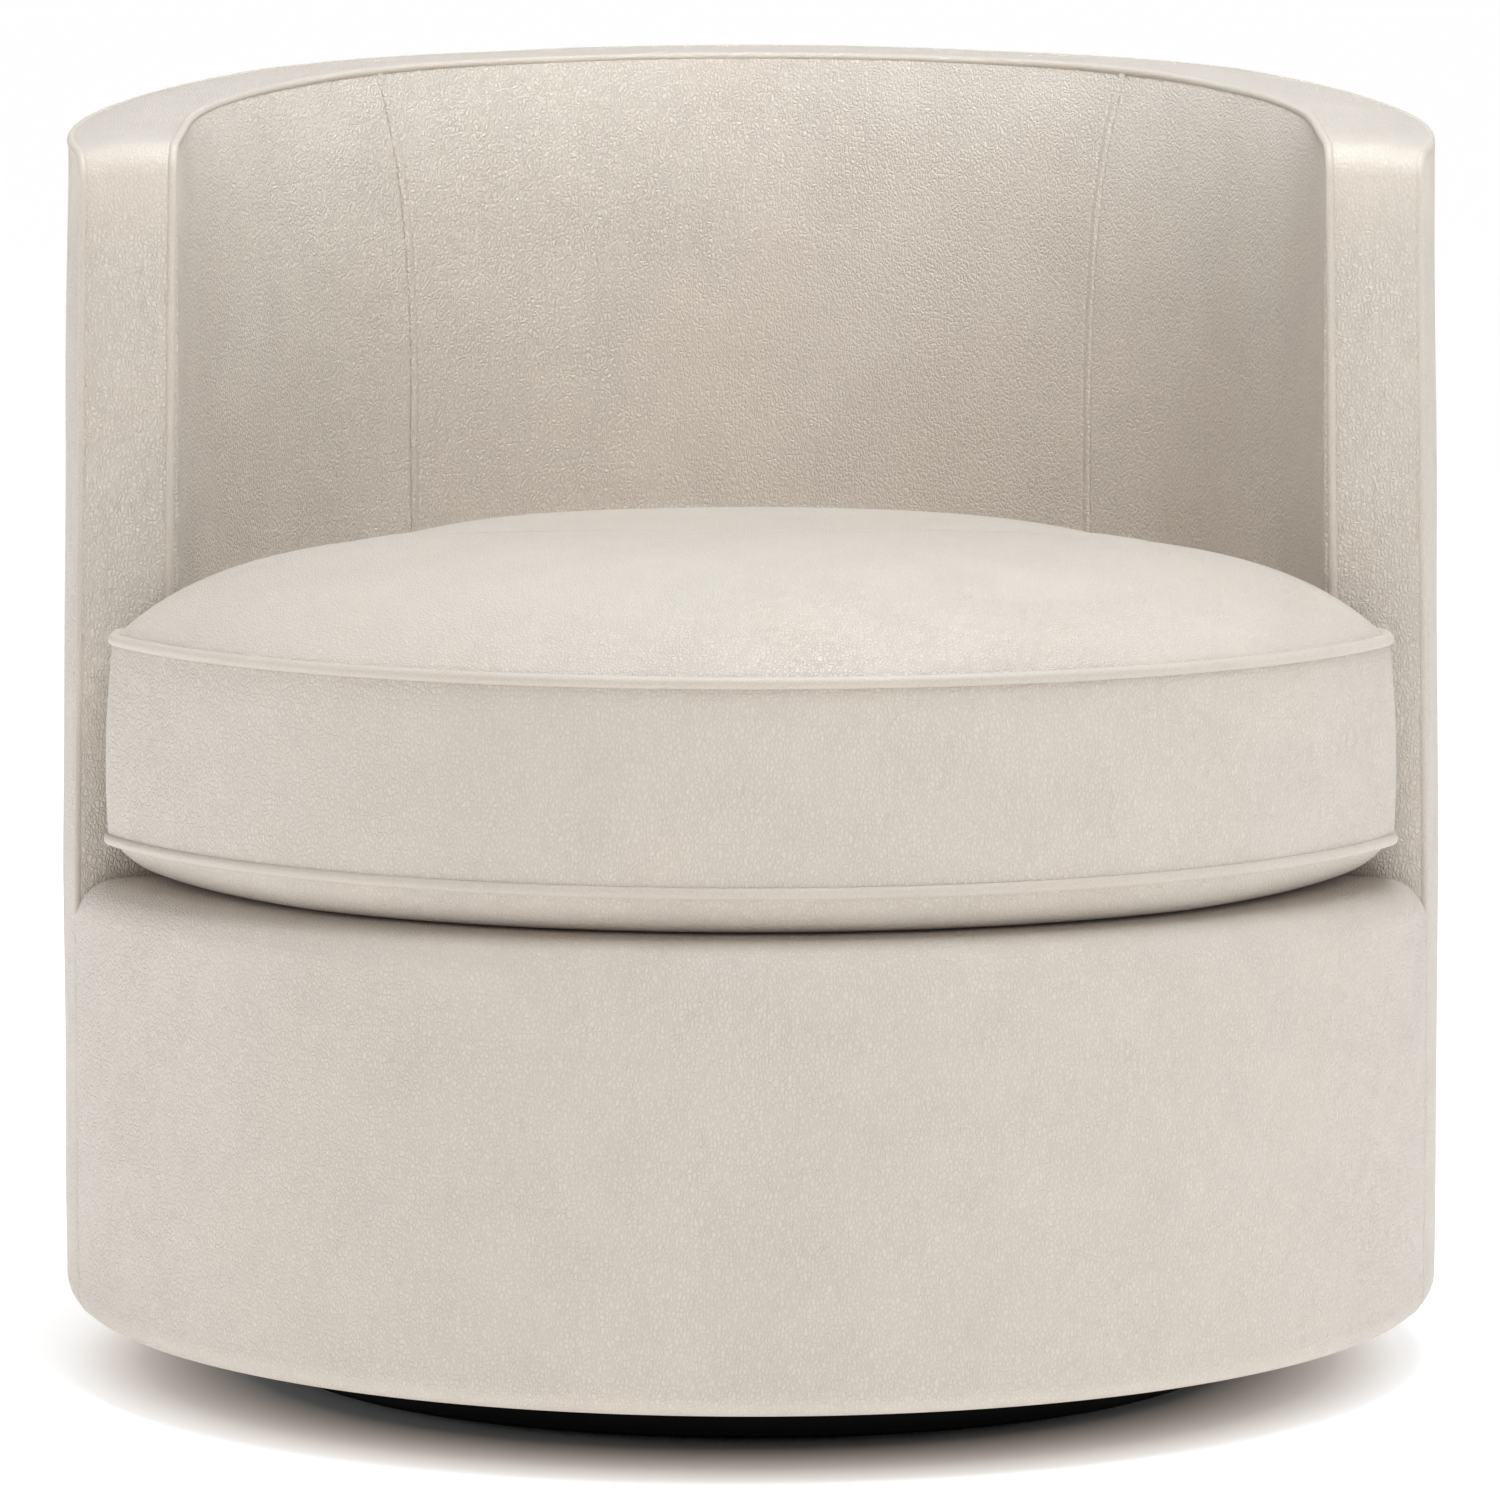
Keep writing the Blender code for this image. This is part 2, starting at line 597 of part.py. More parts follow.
def make_deck(chair, cloth, felt):
    """The pad over the springs and the deck cloth over it."""
    t = places(ARM_FRONT)
    share = front_places()
    share = share[(share > -1e-9) & (share < 1 - 1e-9)][::-1]
    outline = tee_outline(2 * GAP, FRONT_LINE, OUTER_RADIUS - ROLL_DEPTH - GAP, t[t > -1e-9], share)
    for name, low, high, material in (
            ("seat_pad", PAD_UNDER, SEAT_EDGE_Z - DECK_CLOTH - GAP, felt),
            ("deck_cloth", SEAT_EDGE_Z - DECK_CLOTH, SEAT_EDGE_Z, cloth)):
        loft(name, np.array([ring_at(outline, low), ring_at(outline, high)]), material, chair)


# Padding and covers of the wall

def pad_levels(t):
    """Heights of the rows of points up the inside: below the deck, the shared ones, and at the welt.

    They are taken where the padded face meets the rim, so the sloping rim clears them at every depth.
    """
    depth = WALL + SWELL * (1 - math.exp(-CORE_TOP_DROP / SWELL_REACH))
    top = cover_top(t, depth)
    low = SEAT_EDGE_Z + 2 * GAP
    high = np.minimum(rim_height(rim_y(t, depth)) - CORE_TOP_DROP, top - LEATHER)
    shared = low + np.array(PAD_LEVELS) * (high - low)
    return np.concatenate([np.full(top.shape, RING_TOP + GAP), shared, top], axis=1)


def roll_profile(offset):
    """Depths and heights over the roll at the top of the front panel, offset inside its face."""
    angle = np.linspace(0, math.pi / 2, 5)[1:]
    reach = ROLL_RADIUS - offset
    return (np.concatenate([ROLL_RADIUS - reach * np.cos(angle), [ROLL_DEPTH]]),
            np.concatenate([RING_TOP + reach * np.sin(angle), [RING_TOP + reach]]))


def make_padding(chair, foam):
    """Foam inside the back and arms, the pad under the rim strip and the roll over the front rail."""
    t = places(CORE_FRONT)[:, None]
    z = pad_levels(t)[:, :-1]
    sheet("back_foam", wall(t, FOAM_OUT, z), inside(t, z, UNDER_LEATHER), foam, chair)
    depths = np.linspace(WELT_ROOM + GAP, WALL - WELT_ROOM - GAP, 3)
    sheet("rim_pad", strip(UNDER_LEATHER, STRIP_LOW, depths, RIM_CROWN),
          strip(PAD_IN, STRIP_LOW, depths, 0.0, PAD_IN + 2 * GAP), foam, chair)
    u = front_places()[:, None]
    depth, top = roll_profile(UNDER_LEATHER)
    sheet("front_roll", front_points(u, depth, top), front_points(u, depth, RING_TOP + GAP), foam, chair)


def make_covers(chair, leather, cloth):
    """Outer cover, rim strip, inside covers, front panel, welts and dust cover."""
    t = places(ARM_FRONT - WELT_ROOM)
    top = cover_top(t, 0.0)
    layers = [wall(t[:, None], *skirt(offset, (LEAN_START_Z, top))) for offset in (0.0, LEATHER)]
    sheet("outer_cover", *layers, leather, chair)
    depths = np.linspace(WELT_ROOM, WALL - WELT_ROOM, 3)
    sheet("rim_cover", strip(0.0, STRIP_LOW, depths, RIM_CROWN),
          strip(LEATHER, STRIP_LOW, depths, RIM_CROWN), leather, chair)

    t = places(ARM_FRONT - WELT_ROOM)
    seam = BACK_SEAM + GAP / ARC
    right = np.concatenate([[seam], t[t > BACK_SEAM + 1e-6]])
    for name, t in (("inside_back_cover", t[np.abs(t) < BACK_SEAM + 1e-6]),
                    ("inside_arm_cover_left", -right[::-1]), ("inside_arm_cover_right", right)):
        t = t[:, None]
        z = pad_levels(t)[:, 1:]
        sheet(name, inside(t, z, 0.0), inside(t, z, LEATHER), leather, chair)

    u = front_places()[:, None]
    layers = []
    for offset in (0.0, LEATHER):
        depth, z = skirt(offset, (RING_TOP,))
        roll_depth, roll_z = roll_profile(offset)
        layers.append(front_points(u, np.concatenate([depth, roll_depth]), np.concatenate([z[0], roll_z])))
    sheet("front_cover", *layers, leather, chair)

    t, drop = strip_path(WELT_SINK, RING_TOP)
    path = under_rim(t, WELT_SINK, drop)
    angle = np.linspace(-math.pi / 5, 0, 3)
    tuck = EDGE_ROUND - WELT_SINK
    foot = wall(t[0], EDGE_ROUND - tuck * np.cos(angle), UNDER_Z + EDGE_ROUND + tuck * np.sin(angle))
    mirror = np.array([-1, 1, 1])
    tube("outer_welt", np.concatenate([foot, path, foot[::-1] * mirror]), WELT_RADIUS, leather, chair)
    t, drop = strip_path(WELT_SINK, STRIP_LOW)
    tube("inner_welt", under_rim(t, WALL - WELT_SINK, drop), WELT_RADIUS, leather, chair)

    dust_low = BOARD_Z - GAP - DUST_CLOTH
    revolve("dust_cover", [(DUST_HOLE, dust_low), (DUST_OUTER, dust_low),
                           (DUST_OUTER, BOARD_Z - GAP), (DUST_HOLE, BOARD_Z - GAP)], cloth, chair)


# Loose cushion

def crown_rings(outline, offset, edge_z, rise, power):
    """Rings of a crowned panel from its edge to near its middle, offset inside the panel's face.

    The rise follows a rounded curve: steep at the edge and nearly flat over the middle.
    """
    edge = inset(outline, PANEL_INSET + offset)
    share = np.array([1.0, 0.975, 0.90, 0.74, 0.50, 0.22])
    height = (abs(rise) - offset) * np.sqrt(1 - share ** power)
    sign = math.copysign(1, rise)
    return [ring_at(edge, edge_z + sign * (h - offset), s) for s, h in zip(share, height)]


def boxing_rings(outline, offset, count):
    """Rings of the boxing from the bottom welt to the top welt, bulging between them."""
    room = WELT_RADIUS + GAP
    share = np.linspace(0, 1, count)
    heights = BOTTOM_WELT_Z + room + share * (TOP_WELT_Z - BOTTOM_WELT_Z - 2 * room)
    bulges = BOXING_BULGE * np.sin(math.pi * share)
    return [ring_at(inset(outline, offset - bulge), z) for bulge, z in zip(bulges, heights)]


def make_cushion(cushion, leather, foam, zip_tape):
    """The T cushion: foam core, two crowned panels, boxing, two welts and the zip at the back."""
    t = np.linspace(0, turn_of(ARM_FRONT), CUSHION_STEPS + 1)
    share = np.linspace(1, 0, CUSHION_STEPS)[1:]
    outline = tee_outline(CUSHION_CLEAR, ARM_FRONT + EAR_CLEAR, CUSHION_FRONT, t, share, EAR_X)
    for name, edge_z, rise, power in (("cushion_top", TOP_WELT_Z, CUSHION_CROWN, 2.2),
                                      ("cushion_bottom", BOTTOM_WELT_Z, -BOTTOM_DROP, 8.0)):
        face = crown_rings(outline, 0.0, edge_z, rise, power)
        back = crown_rings(outline, LEATHER, edge_z, rise, power)
        loft(name, np.array(back[::-1] + face), leather, cushion)
    sheet("cushion_boxing", np.stack(boxing_rings(outline, 0.0, 4), axis=1),
          np.stack(boxing_rings(outline, LEATHER, 4), axis=1), leather, cushion, closed=True)
    lower = crown_rings(outline, CORE_INSET, BOTTOM_WELT_Z, -BOTTOM_DROP, 8.0)
    upper = crown_rings(outline, CORE_INSET, TOP_WELT_Z, CUSHION_CROWN, 2.2)
    loft("cushion_core", np.array(lower[::-1] + boxing_rings(outline, CORE_INSET, 4) + upper),
         foam, cushion)
    for name, z in (("cushion_top_welt", TOP_WELT_Z), ("cushion_bottom_welt", BOTTOM_WELT_Z)):
        tube(name, ring_at(outline, z), WELT_RADIUS, leather, cushion, closed=True)
    middle = (BOTTOM_WELT_Z + TOP_WELT_Z) / 2
    grids = []
    for off in (GAP + DUST_CLOTH, GAP):
        ring = inset(outline, -BOXING_BULGE - off)
        back = np.concatenate([ring[-ZIP_REACH:], ring[:ZIP_REACH + 1]])
        grids.append(np.stack([ring_at(back, middle + s * ZIP_WIDTH / 2) for s in (-1, 1)], axis=1))
    sheet("cushion_zip", *grids, zip_tape, cushion)


# Base and swivel

def race_profile(side):
    """Section of a swivel plate with its race: side is 1 for the upper plate and -1 for the lower one."""
    flat = MID_PLANE + side * PLATE_SPACE / 2
    back = flat + side * PLATE_THICK
    lip = MID_PLANE + side * RACE_LIP
    foot = MID_PLANE + side * (BALL_RADIUS + BALL_GAP)
    return [(PLATE_HOLE, back), (PLATE_HOLE, flat), (RACE_RADIUS - RACE_WIDTH, flat),
            (RACE_RADIUS - RACE_WIDTH, lip), (RACE_RADIUS - RACE_GROOVE_TOP, lip),
            (RACE_RADIUS - RACE_GROOVE_FOOT, foot), (RACE_RADIUS + RACE_GROOVE_FOOT, foot),
            (RACE_RADIUS + RACE_GROOVE_TOP, lip), (RACE_RADIUS + RACE_WIDTH, lip),
            (RACE_RADIUS + RACE_WIDTH, flat), (PLATE_RADIUS, flat), (PLATE_RADIUS, back)]


def make_ball_cage(parent, steel):
    """The cage ring with its balls, joined into one piece that runs between the races."""
    cage = revolve("ball_cage", [(RACE_RADIUS - CAGE_WIDTH, MID_PLANE - CAGE_THICK / 2),
                                 (RACE_RADIUS + CAGE_WIDTH, MID_PLANE - CAGE_THICK / 2),
                                 (RACE_RADIUS + CAGE_WIDTH, MID_PLANE + CAGE_THICK / 2),
                                 (RACE_RADIUS - CAGE_WIDTH, MID_PLANE + CAGE_THICK / 2)], steel, parent)
    rise = np.radians([-80, -27, 27, 80])
    for number in range(BALLS):
        angle = 2 * math.pi * (number + 0.5) / BALLS
        centre = (RACE_RADIUS * math.cos(angle), RACE_RADIUS * math.sin(angle))
        ball = disc(f"ball_shape_{number}", [(BALL_RADIUS * math.cos(a), MID_PLANE + BALL_RADIUS * math.sin(a))
                                             for a in rise], steel, parent, 6, centre)
        ball.hide_render = True
        ball.display_type = "WIRE"
        join = cage.modifiers.new(f"join_{number}", "BOOLEAN")
        join.operation = "UNION"
        join.solver = "EXACT"
        join.object = ball


def make_base(base, painted, steel, plastic):
    """Plinth, glides and lower swivel plate."""
    low = GLIDE_HEIGHT + GAP
    disc("plinth", [(PLINTH_RADIUS - PLINTH_CHAMFER, low), (PLINTH_RADIUS, low + PLINTH_CHAMFER),
                    (PLINTH_RADIUS, PLINTH_TOP - PLINTH_CHAMFER), (PLINTH_RADIUS - PLINTH_CHAMFER, PLINTH_TOP)],
         painted, base)
    for number in range(GLIDES):
        angle = 2 * math.pi * (number + 0.5) / GLIDES
        centre = (GLIDE_CIRCLE * math.cos(angle), GLIDE_CIRCLE * math.sin(angle))
        disc(f"glide_{number + 1}", [(GLIDE_RADIUS - 0.001, 0.0), (GLIDE_RADIUS, 0.001),
                                     (GLIDE_RADIUS, GLIDE_HEIGHT)], plastic, base, 16, centre)
    revolve("swivel_plate_lower", race_profile(-1), steel, base)


def main():
    """Build the chair."""
    clear_scene()
    leather = finish("cream leather", (0.72, 0.67, 0.60), 0.45)
    wood = finish("plywood", (0.62, 0.46, 0.28), 0.7)
    board = finish("hardboard", (0.38, 0.25, 0.14), 0.8)
    foam = finish("foam", (0.88, 0.84, 0.66), 0.95)
    felt = finish("felt pad", (0.55, 0.53, 0.48), 0.95)
    cloth = finish("black cloth", (0.02, 0.02, 0.02), 0.9)
    steel = finish("steel", (0.45, 0.45, 0.46), 0.35, 1.0)
    painted = finish("black painted plinth", (0.01, 0.01, 0.01), 0.4)
    plastic = finish("glide plastic", (0.05, 0.05, 0.05), 0.5)
    zip_tape = finish("zip tape", (0.60, 0.55, 0.48), 0.8)

    base = body("base_body")
    cage = body("cage_body")
    chair = body("chair_body")
    cushion = body("cushion_body")
    make_base(base, painted, steel, plastic)
    make_ball_cage(cage, steel)
    revolve("swivel_plate_upper", race_profile(1), steel, chair)
    make_frame(chair, wood, board)
    make_springs(chair, steel)
    make_deck(chair, cloth, felt)
    make_padding(chair, foam)
    make_covers(chair, leather, cloth)
    make_cushion(cushion, leather, foam, zip_tape)


main()
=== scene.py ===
"""Leather barrel swivel chair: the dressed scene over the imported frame.

Metres, +Z up. The chair opens towards -Y and stands on the floor, with the swivel axis on the Z axis.
"""
from __future__ import annotations

import functools
import logging
import math
from dataclasses import dataclass
from enum import Enum
from typing import Sequence

import bpy
import numpy as np
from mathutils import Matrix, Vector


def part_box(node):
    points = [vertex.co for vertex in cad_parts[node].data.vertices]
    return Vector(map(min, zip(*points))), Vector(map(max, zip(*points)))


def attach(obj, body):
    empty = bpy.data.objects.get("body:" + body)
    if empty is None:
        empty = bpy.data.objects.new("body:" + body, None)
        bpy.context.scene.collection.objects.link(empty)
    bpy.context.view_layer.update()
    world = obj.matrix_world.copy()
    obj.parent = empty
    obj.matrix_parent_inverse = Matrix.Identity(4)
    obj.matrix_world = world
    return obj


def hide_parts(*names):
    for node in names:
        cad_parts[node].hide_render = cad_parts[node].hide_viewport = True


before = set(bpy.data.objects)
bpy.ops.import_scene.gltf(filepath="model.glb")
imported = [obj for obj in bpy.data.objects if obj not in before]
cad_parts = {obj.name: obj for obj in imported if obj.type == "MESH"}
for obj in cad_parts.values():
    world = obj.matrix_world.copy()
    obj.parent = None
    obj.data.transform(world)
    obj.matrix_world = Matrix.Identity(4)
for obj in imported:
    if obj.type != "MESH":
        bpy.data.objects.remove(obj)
LOG = logging.getLogger("barrel_chair")
Array = np.ndarray
Colour = tuple[float, float, float]
Material = bpy.types.Material
Socket = bpy.types.NodeSocket


class Body(Enum):
    """The moving bodies that a piece can ride on."""

    BASE = "base"
    CAGE = "cage"
    CHAIR = "chair"
    CUSHION = "cushion"


# Materials


class NodeSheet:
    """A material's node tree with short calls to add and join nodes."""

    def __init__(self, name: str) -> None:
        """Make an empty tree with a Principled shader.

        Args:
            name: name of the material.
        """
        self.material = bpy.data.materials.new(name)
        self.material.use_nodes = True
        self.nodes = self.material.node_tree.nodes
        self.links = self.material.node_tree.links
        self.shader = self.nodes["Principled BSDF"]
        self.place = self.add("ShaderNodeTexCoord").outputs["Object"]

    def add(self, kind: str, sockets: dict | None = None, **settings: object) -> bpy.types.Node:
        """Add a node, set its properties, and set or join its input sockets.

        Args:
            kind: Blender's name of the node type.
            sockets: input name or number, and the value or the output socket that goes there.
            **settings: properties of the node.

        Returns:
            The new node.
        """
        node = self.nodes.new(kind)
        for name, value in settings.items():
            setattr(node, name, value)
        for name, value in (sockets or {}).items():
            self.put(node.inputs[name], value)
        return node

    def put(self, socket: Socket, value: object) -> None:
        """Join an output socket to an input, or set the input's own value.

        Args:
            socket: the input.
            value: an output socket or a constant.
        """
        if isinstance(value, Socket):
            self.links.new(value, socket)
        else:
            socket.default_value = value

    def maths(self, operation: str, first: object, second: object = 0.0) -> Socket:
        """One Math node's result.

        Args:
            operation: Blender's name of the operation.
            first: number or output socket.
            second: number or output socket.

        Returns:
            The output socket.
        """
        return self.add("ShaderNodeMath", {0: first, 1: second}, operation=operation).outputs[0]

    def noise(self, scale: float, detail: float = 2.0, roughness: float = 0.5) -> Socket:
        """A noise field on Object coordinates.

        Args:
            scale: features per metre.
            detail: number of finer layers.
            roughness: weight of the finer layers.

        Returns:
            The noise value, from 0 to 1.
        """
        node = self.add("ShaderNodeTexNoise", {"Vector": self.place, "Scale": scale, "Detail": detail,
                                               "Roughness": roughness})
        return node.outputs["Fac"]

    def spread(self, value: object, low: float, high: float, to_low: float, to_high: float) -> Socket:
        """Map a value's range to another one, clamped.

        Args:
            value: output socket.
            low: value that becomes to_low.
            high: value that becomes to_high.
            to_low: lower result.
            to_high: upper result.

        Returns:
            The mapped output socket.
        """
        return self.add("ShaderNodeMapRange", {"Value": value, "From Min": low, "From Max": high,
                                               "To Min": to_low, "To Max": to_high}).outputs["Result"]

    def clouds(self, scale: float, low: float, high: float, detail: float = 2.0, roughness: float = 0.5,
               within: tuple[float, float] = (0.3, 0.7)) -> Socket:
        """A soft noise brought to a range.

        Args:
            scale: features per metre.
            low: result where the noise is lowest.
            high: result where it is highest.
            detail: number of finer layers.
            roughness: weight of the finer layers.
            within: noise values that become low and high.

        Returns:
            The output socket.
        """
        return self.spread(self.noise(scale, detail, roughness), within[0], within[1], low, high)

    def vector(self, operation: str, first: object, **sockets: object) -> Socket:
        """One Vector Math node's result.

        Args:
            operation: Blender's name of the operation.
            first: vector or output socket.
            **sockets: second for the other vector, Scale for a factor.

        Returns:
            The output socket.
        """
        values = {0: first}
        values.update({1 if name == "second" else name: value for name, value in sockets.items()})
        return self.add("ShaderNodeVectorMath", values, operation=operation).outputs[0]

    def blend(self, share: object, first: object, second: object, kind: str = "MIX") -> Socket:
        """Mix two colours.

        Args:
            share: how much of the second, number or output socket.
            first: colour or output socket.
            second: colour or output socket.
            kind: Blender's name of the blending.

        Returns:
            The colour output.
        """
        node = self.add("ShaderNodeMix", data_type="RGBA", blend_type=kind)
        for socket, value in zip((node.inputs[0], node.inputs[6], node.inputs[7]), (share, first, second)):
            self.put(socket, value)
        return node.outputs[2]

    def bump(self, height: object, distance: float, strength: float = 1.0,
             under: Socket | None = None) -> Socket:
        """A bump from a height field.

        Args:
            height: output socket.
            distance: height in metres of a value of 1.
            strength: share of the effect.
            under: normal from a coarser bump.

        Returns:
            The normal output.
        """
        sockets = {"Height": height, "Distance": distance, "Strength": strength}
        if under is not None:
            sockets["Normal"] = under
        return self.add("ShaderNodeBump", sockets).outputs["Normal"]

    def dress(self, **values: object) -> Material:
        """Set or join the shader's sockets; underscores in the names stand for spaces.

        Args:
            **values: socket names with numbers, colours or output sockets.

        Returns:
            The finished material.
        """
        for name, value in values.items():
            self.put(self.shader.inputs[name.replace("_", " ")], value)
        return self.material


def rgba(red: float, green: float, blue: float) -> tuple[float, ...]:
    """A linear colour with full alpha."""
    return (red, green, blue, 1.0)


@dataclass(frozen=True)
class Leather:
    """Cream semi-aniline leather: small pebbles, faint cloudy tint and a low sheen.

    The grain is a cell pattern: its height rises from the creases between cells to their middles, and a
    finer noise roughens it. A slow noise warps the cells, so they vary in size and direction; on upright
    faces they are half as tall again as wide. Leather that is pulled tight shows it less: the front and the
    cushion by front_share, the noses of the arms by nose_share.
    """

    name: str = "cream leather"
    tone: Colour = (0.618, 0.543, 0.469)
    warm: Colour = (0.623, 0.539, 0.461)
    cool: Colour = (0.612, 0.545, 0.473)
    pebbles: float = 490.0
    grain_height: float = 0.00052
    fine_height: float = 0.00004
    warp: float = 0.0030
    cell_shape: Colour = (1.0, 1.0, 0.60)
    front_share: float = 0.68
    nose_share: float = 0.35
    roughness: float = 0.47

    def material(self) -> Material:
        """Build the leather's node tree."""
        sheet = NodeSheet(self.name)
        warp = sheet.add("ShaderNodeTexNoise", {"Vector": sheet.place, "Scale": 160.0, "Detail": 1.0})
        shift = sheet.vector("SUBTRACT", warp.outputs["Color"], second=(0.5, 0.5, 0.5))
        small = sheet.vector("SCALE", shift, Scale=self.warp)
        taller = sheet.add("ShaderNodeMapping", {"Vector": sheet.place, "Scale": self.cell_shape}).outputs[0]
        warped = sheet.vector("ADD", taller, second=small)
        cells = sheet.add("ShaderNodeTexVoronoi", {"Vector": warped, "Scale": self.pebbles,
                                                   "Randomness": 0.9}, feature="DISTANCE_TO_EDGE")
        pebble = sheet.spread(cells.outputs["Distance"], 0.0, 0.24, 0.0, 1.0)
        fine = sheet.noise(2600.0, 2.0, 0.6)
        patch = sheet.clouds(28.0, 0.82, 1.0, within=(0.35, 0.65))
        place = sheet.add("ShaderNodeSeparateXYZ", {0: sheet.place})
        ahead, up = place.outputs["Y"], place.outputs["Z"]
        nose = sheet.maths("MAXIMUM", sheet.spread(up, 0.66, 0.70, 1.0, self.nose_share),
                           sheet.spread(ahead, -0.09, -0.05, self.nose_share, 1.0))
        pulled = sheet.maths("MULTIPLY", sheet.spread(ahead, -0.27, -0.12, self.front_share, 1.0), nose)
        relief = sheet.maths("MULTIPLY", sheet.maths("MULTIPLY", pebble, patch), pulled)
        coarse = sheet.bump(relief, self.grain_height)
        grain = sheet.bump(fine, self.fine_height, 0.6, coarse)

        warmth = sheet.clouds(11.0, 0.0, 0.75, 3.0, 0.55, (0.42, 0.66))
        coolness = sheet.clouds(8.5, 0.0, 0.60, within=(0.50, 0.70))
        colour = sheet.blend(warmth, rgba(*self.tone), rgba(*self.warm))
        colour = sheet.blend(coolness, colour, rgba(*self.cool))
        # Random cloudy tone, times a darker colour in the creases between pebbles: painted shade that deepens
        # the grain.
        cloud = sheet.clouds(21.0, 0.975, 1.02, 3.0, 0.6)
        crease_shade = sheet.spread(pebble, 0.0, 0.6, 0.89, 1.0)
        tone_and_crease_shade = sheet.maths("MULTIPLY", cloud, crease_shade)
        grey = sheet.add("ShaderNodeCombineColor", {0: tone_and_crease_shade, 1: tone_and_crease_shade, 2: tone_and_crease_shade}).outputs[0]
        colour = sheet.blend(1.0, colour, grey, "MULTIPLY")
        roughness = sheet.clouds(60.0, self.roughness - 0.04, self.roughness + 0.05)
        return sheet.dress(Base_Color=colour, Roughness=roughness, Normal=grain, Specular_IOR_Level=0.42,
                           Sheen_Weight=0.06, Sheen_Roughness=0.5)


@dataclass(frozen=True)
class Lacquer:
    """Black satin lacquer on wood: nearly even, with a faint orange peel."""

    name: str = "black lacquer"
    tone: Colour = (0.0028, 0.0028, 0.003)
    roughness: float = 0.32

    def material(self) -> Material:
        """Build the lacquer's node tree."""
        sheet = NodeSheet(self.name)
        peel = sheet.bump(sheet.noise(340.0, 2.0), 0.00003)
        wear = sheet.clouds(30.0, self.roughness, self.roughness + 0.12, 4.0, 0.65, (0.35, 0.75))
        return sheet.dress(Base_Color=rgba(*self.tone), Roughness=wear, Normal=peel, Specular_IOR_Level=0.07)


@dataclass(frozen=True)
class Wood:
    """Bare sheet or solid wood: long grain streaks in one direction, with fine pores.

    The streaks are a noise that is stretched along one axis.
    """

    name: str
    light: Colour
    dark: Colour
    stretch: Colour = (90.0, 90.0, 6.0)
    roughness: float = 0.66

    def material(self) -> Material:
        """Build the wood's node tree."""
        sheet = NodeSheet(self.name)
        along = sheet.add("ShaderNodeMapping", {"Vector": sheet.place, "Scale": self.stretch}).outputs[0]
        streak = sheet.add("ShaderNodeTexNoise", {"Vector": along, "Scale": 1.0, "Detail": 4.0,
                                                  "Roughness": 0.6}).outputs["Fac"]
        pores = sheet.add("ShaderNodeTexNoise", {"Vector": along, "Scale": 9.0, "Detail": 2.0}).outputs["Fac"]
        share = sheet.spread(streak, 0.35, 0.65, 0.0, 1.0)
        colour = sheet.blend(share, rgba(*self.light), rgba(*self.dark))
        normal = sheet.bump(pores, 0.00012)
        return sheet.dress(Base_Color=colour, Roughness=self.roughness, Normal=normal)


@dataclass(frozen=True)
class Metal:
    """Plated or blackened steel with fine scuffs."""

    name: str
    tone: Colour
    roughness: float = 0.34

    def material(self) -> Material:
        """Build the metal's node tree."""
        sheet = NodeSheet(self.name)
        cloud = sheet.clouds(70.0, 0.0, 1.0, 4.0, 0.6)
        darker = tuple(0.8 * part for part in self.tone)
        colour = sheet.blend(cloud, rgba(*self.tone), rgba(*darker))
        rough = sheet.clouds(180.0, self.roughness - 0.06, self.roughness + 0.1, 3.0)
        normal = sheet.bump(sheet.noise(900.0, 2.0), 0.00002)
        return sheet.dress(Base_Color=colour, Metallic=1.0, Roughness=rough, Normal=normal)


@dataclass(frozen=True)
class Woven:
    """Cloth with a plain weave: two crossed waves raise the threads over and under each other."""

    name: str
    tone: Colour
    threads: float = 1300.0
    height: float = 0.00018
    roughness: float = 0.88

    def material(self) -> Material:
        """Build the cloth's node tree."""
        sheet = NodeSheet(self.name)
        parts = sheet.add("ShaderNodeSeparateXYZ", {0: sheet.place})
        across, along, upright = (
            sheet.maths("SINE", sheet.maths("MULTIPLY", parts.outputs[axis], self.threads * math.pi))
            for axis in range(3))
        weave = sheet.maths("MULTIPLY", across, along)
        weave = sheet.maths("ADD", weave, sheet.maths("MULTIPLY", upright, 0.4))
        fuzz = sheet.noise(2200.0, 2.0)
        normal = sheet.bump(sheet.maths("ADD", weave, fuzz), self.height)
        light = tuple(min(1.0, 1.35 * part) for part in self.tone)
        colour = sheet.blend(sheet.clouds(55.0, 0.0, 1.0, 3.0), rgba(*self.tone), rgba(*light))
        return sheet.dress(Base_Color=colour, Roughness=self.roughness, Normal=normal, Sheen_Weight=0.2)


@dataclass(frozen=True)
class Fleece:
    """Foam or pressed felt: a fine open texture with soft clouds."""

    name: str
    tone: Colour
    cells: float = 900.0

    def material(self) -> Material:
        """Build the node tree of foam or felt."""
        sheet = NodeSheet(self.name)
        pits = sheet.noise(self.cells, 3.0, 0.7)
        normal = sheet.bump(pits, 0.0004)
        darker = tuple(0.86 * part for part in self.tone)
        colour = sheet.blend(sheet.clouds(40.0, 0.0, 1.0, 4.0), rgba(*self.tone), rgba(*darker))
        return sheet.dress(Base_Color=colour, Roughness=0.95, Normal=normal)


@dataclass(frozen=True)
class Moulded:
    """Moulded plastic with a fine spark-eroded texture."""

    name: str = "glide plastic"
    tone: Colour = (0.03, 0.03, 0.032)

    def material(self) -> Material:
        """Build the plastic's node tree."""
        sheet = NodeSheet(self.name)
        normal = sheet.bump(sheet.noise(1500.0, 2.0), 0.00004)
        rough = sheet.clouds(90.0, 0.48, 0.6)
        return sheet.dress(Base_Color=rgba(*self.tone), Roughness=rough, Normal=normal)


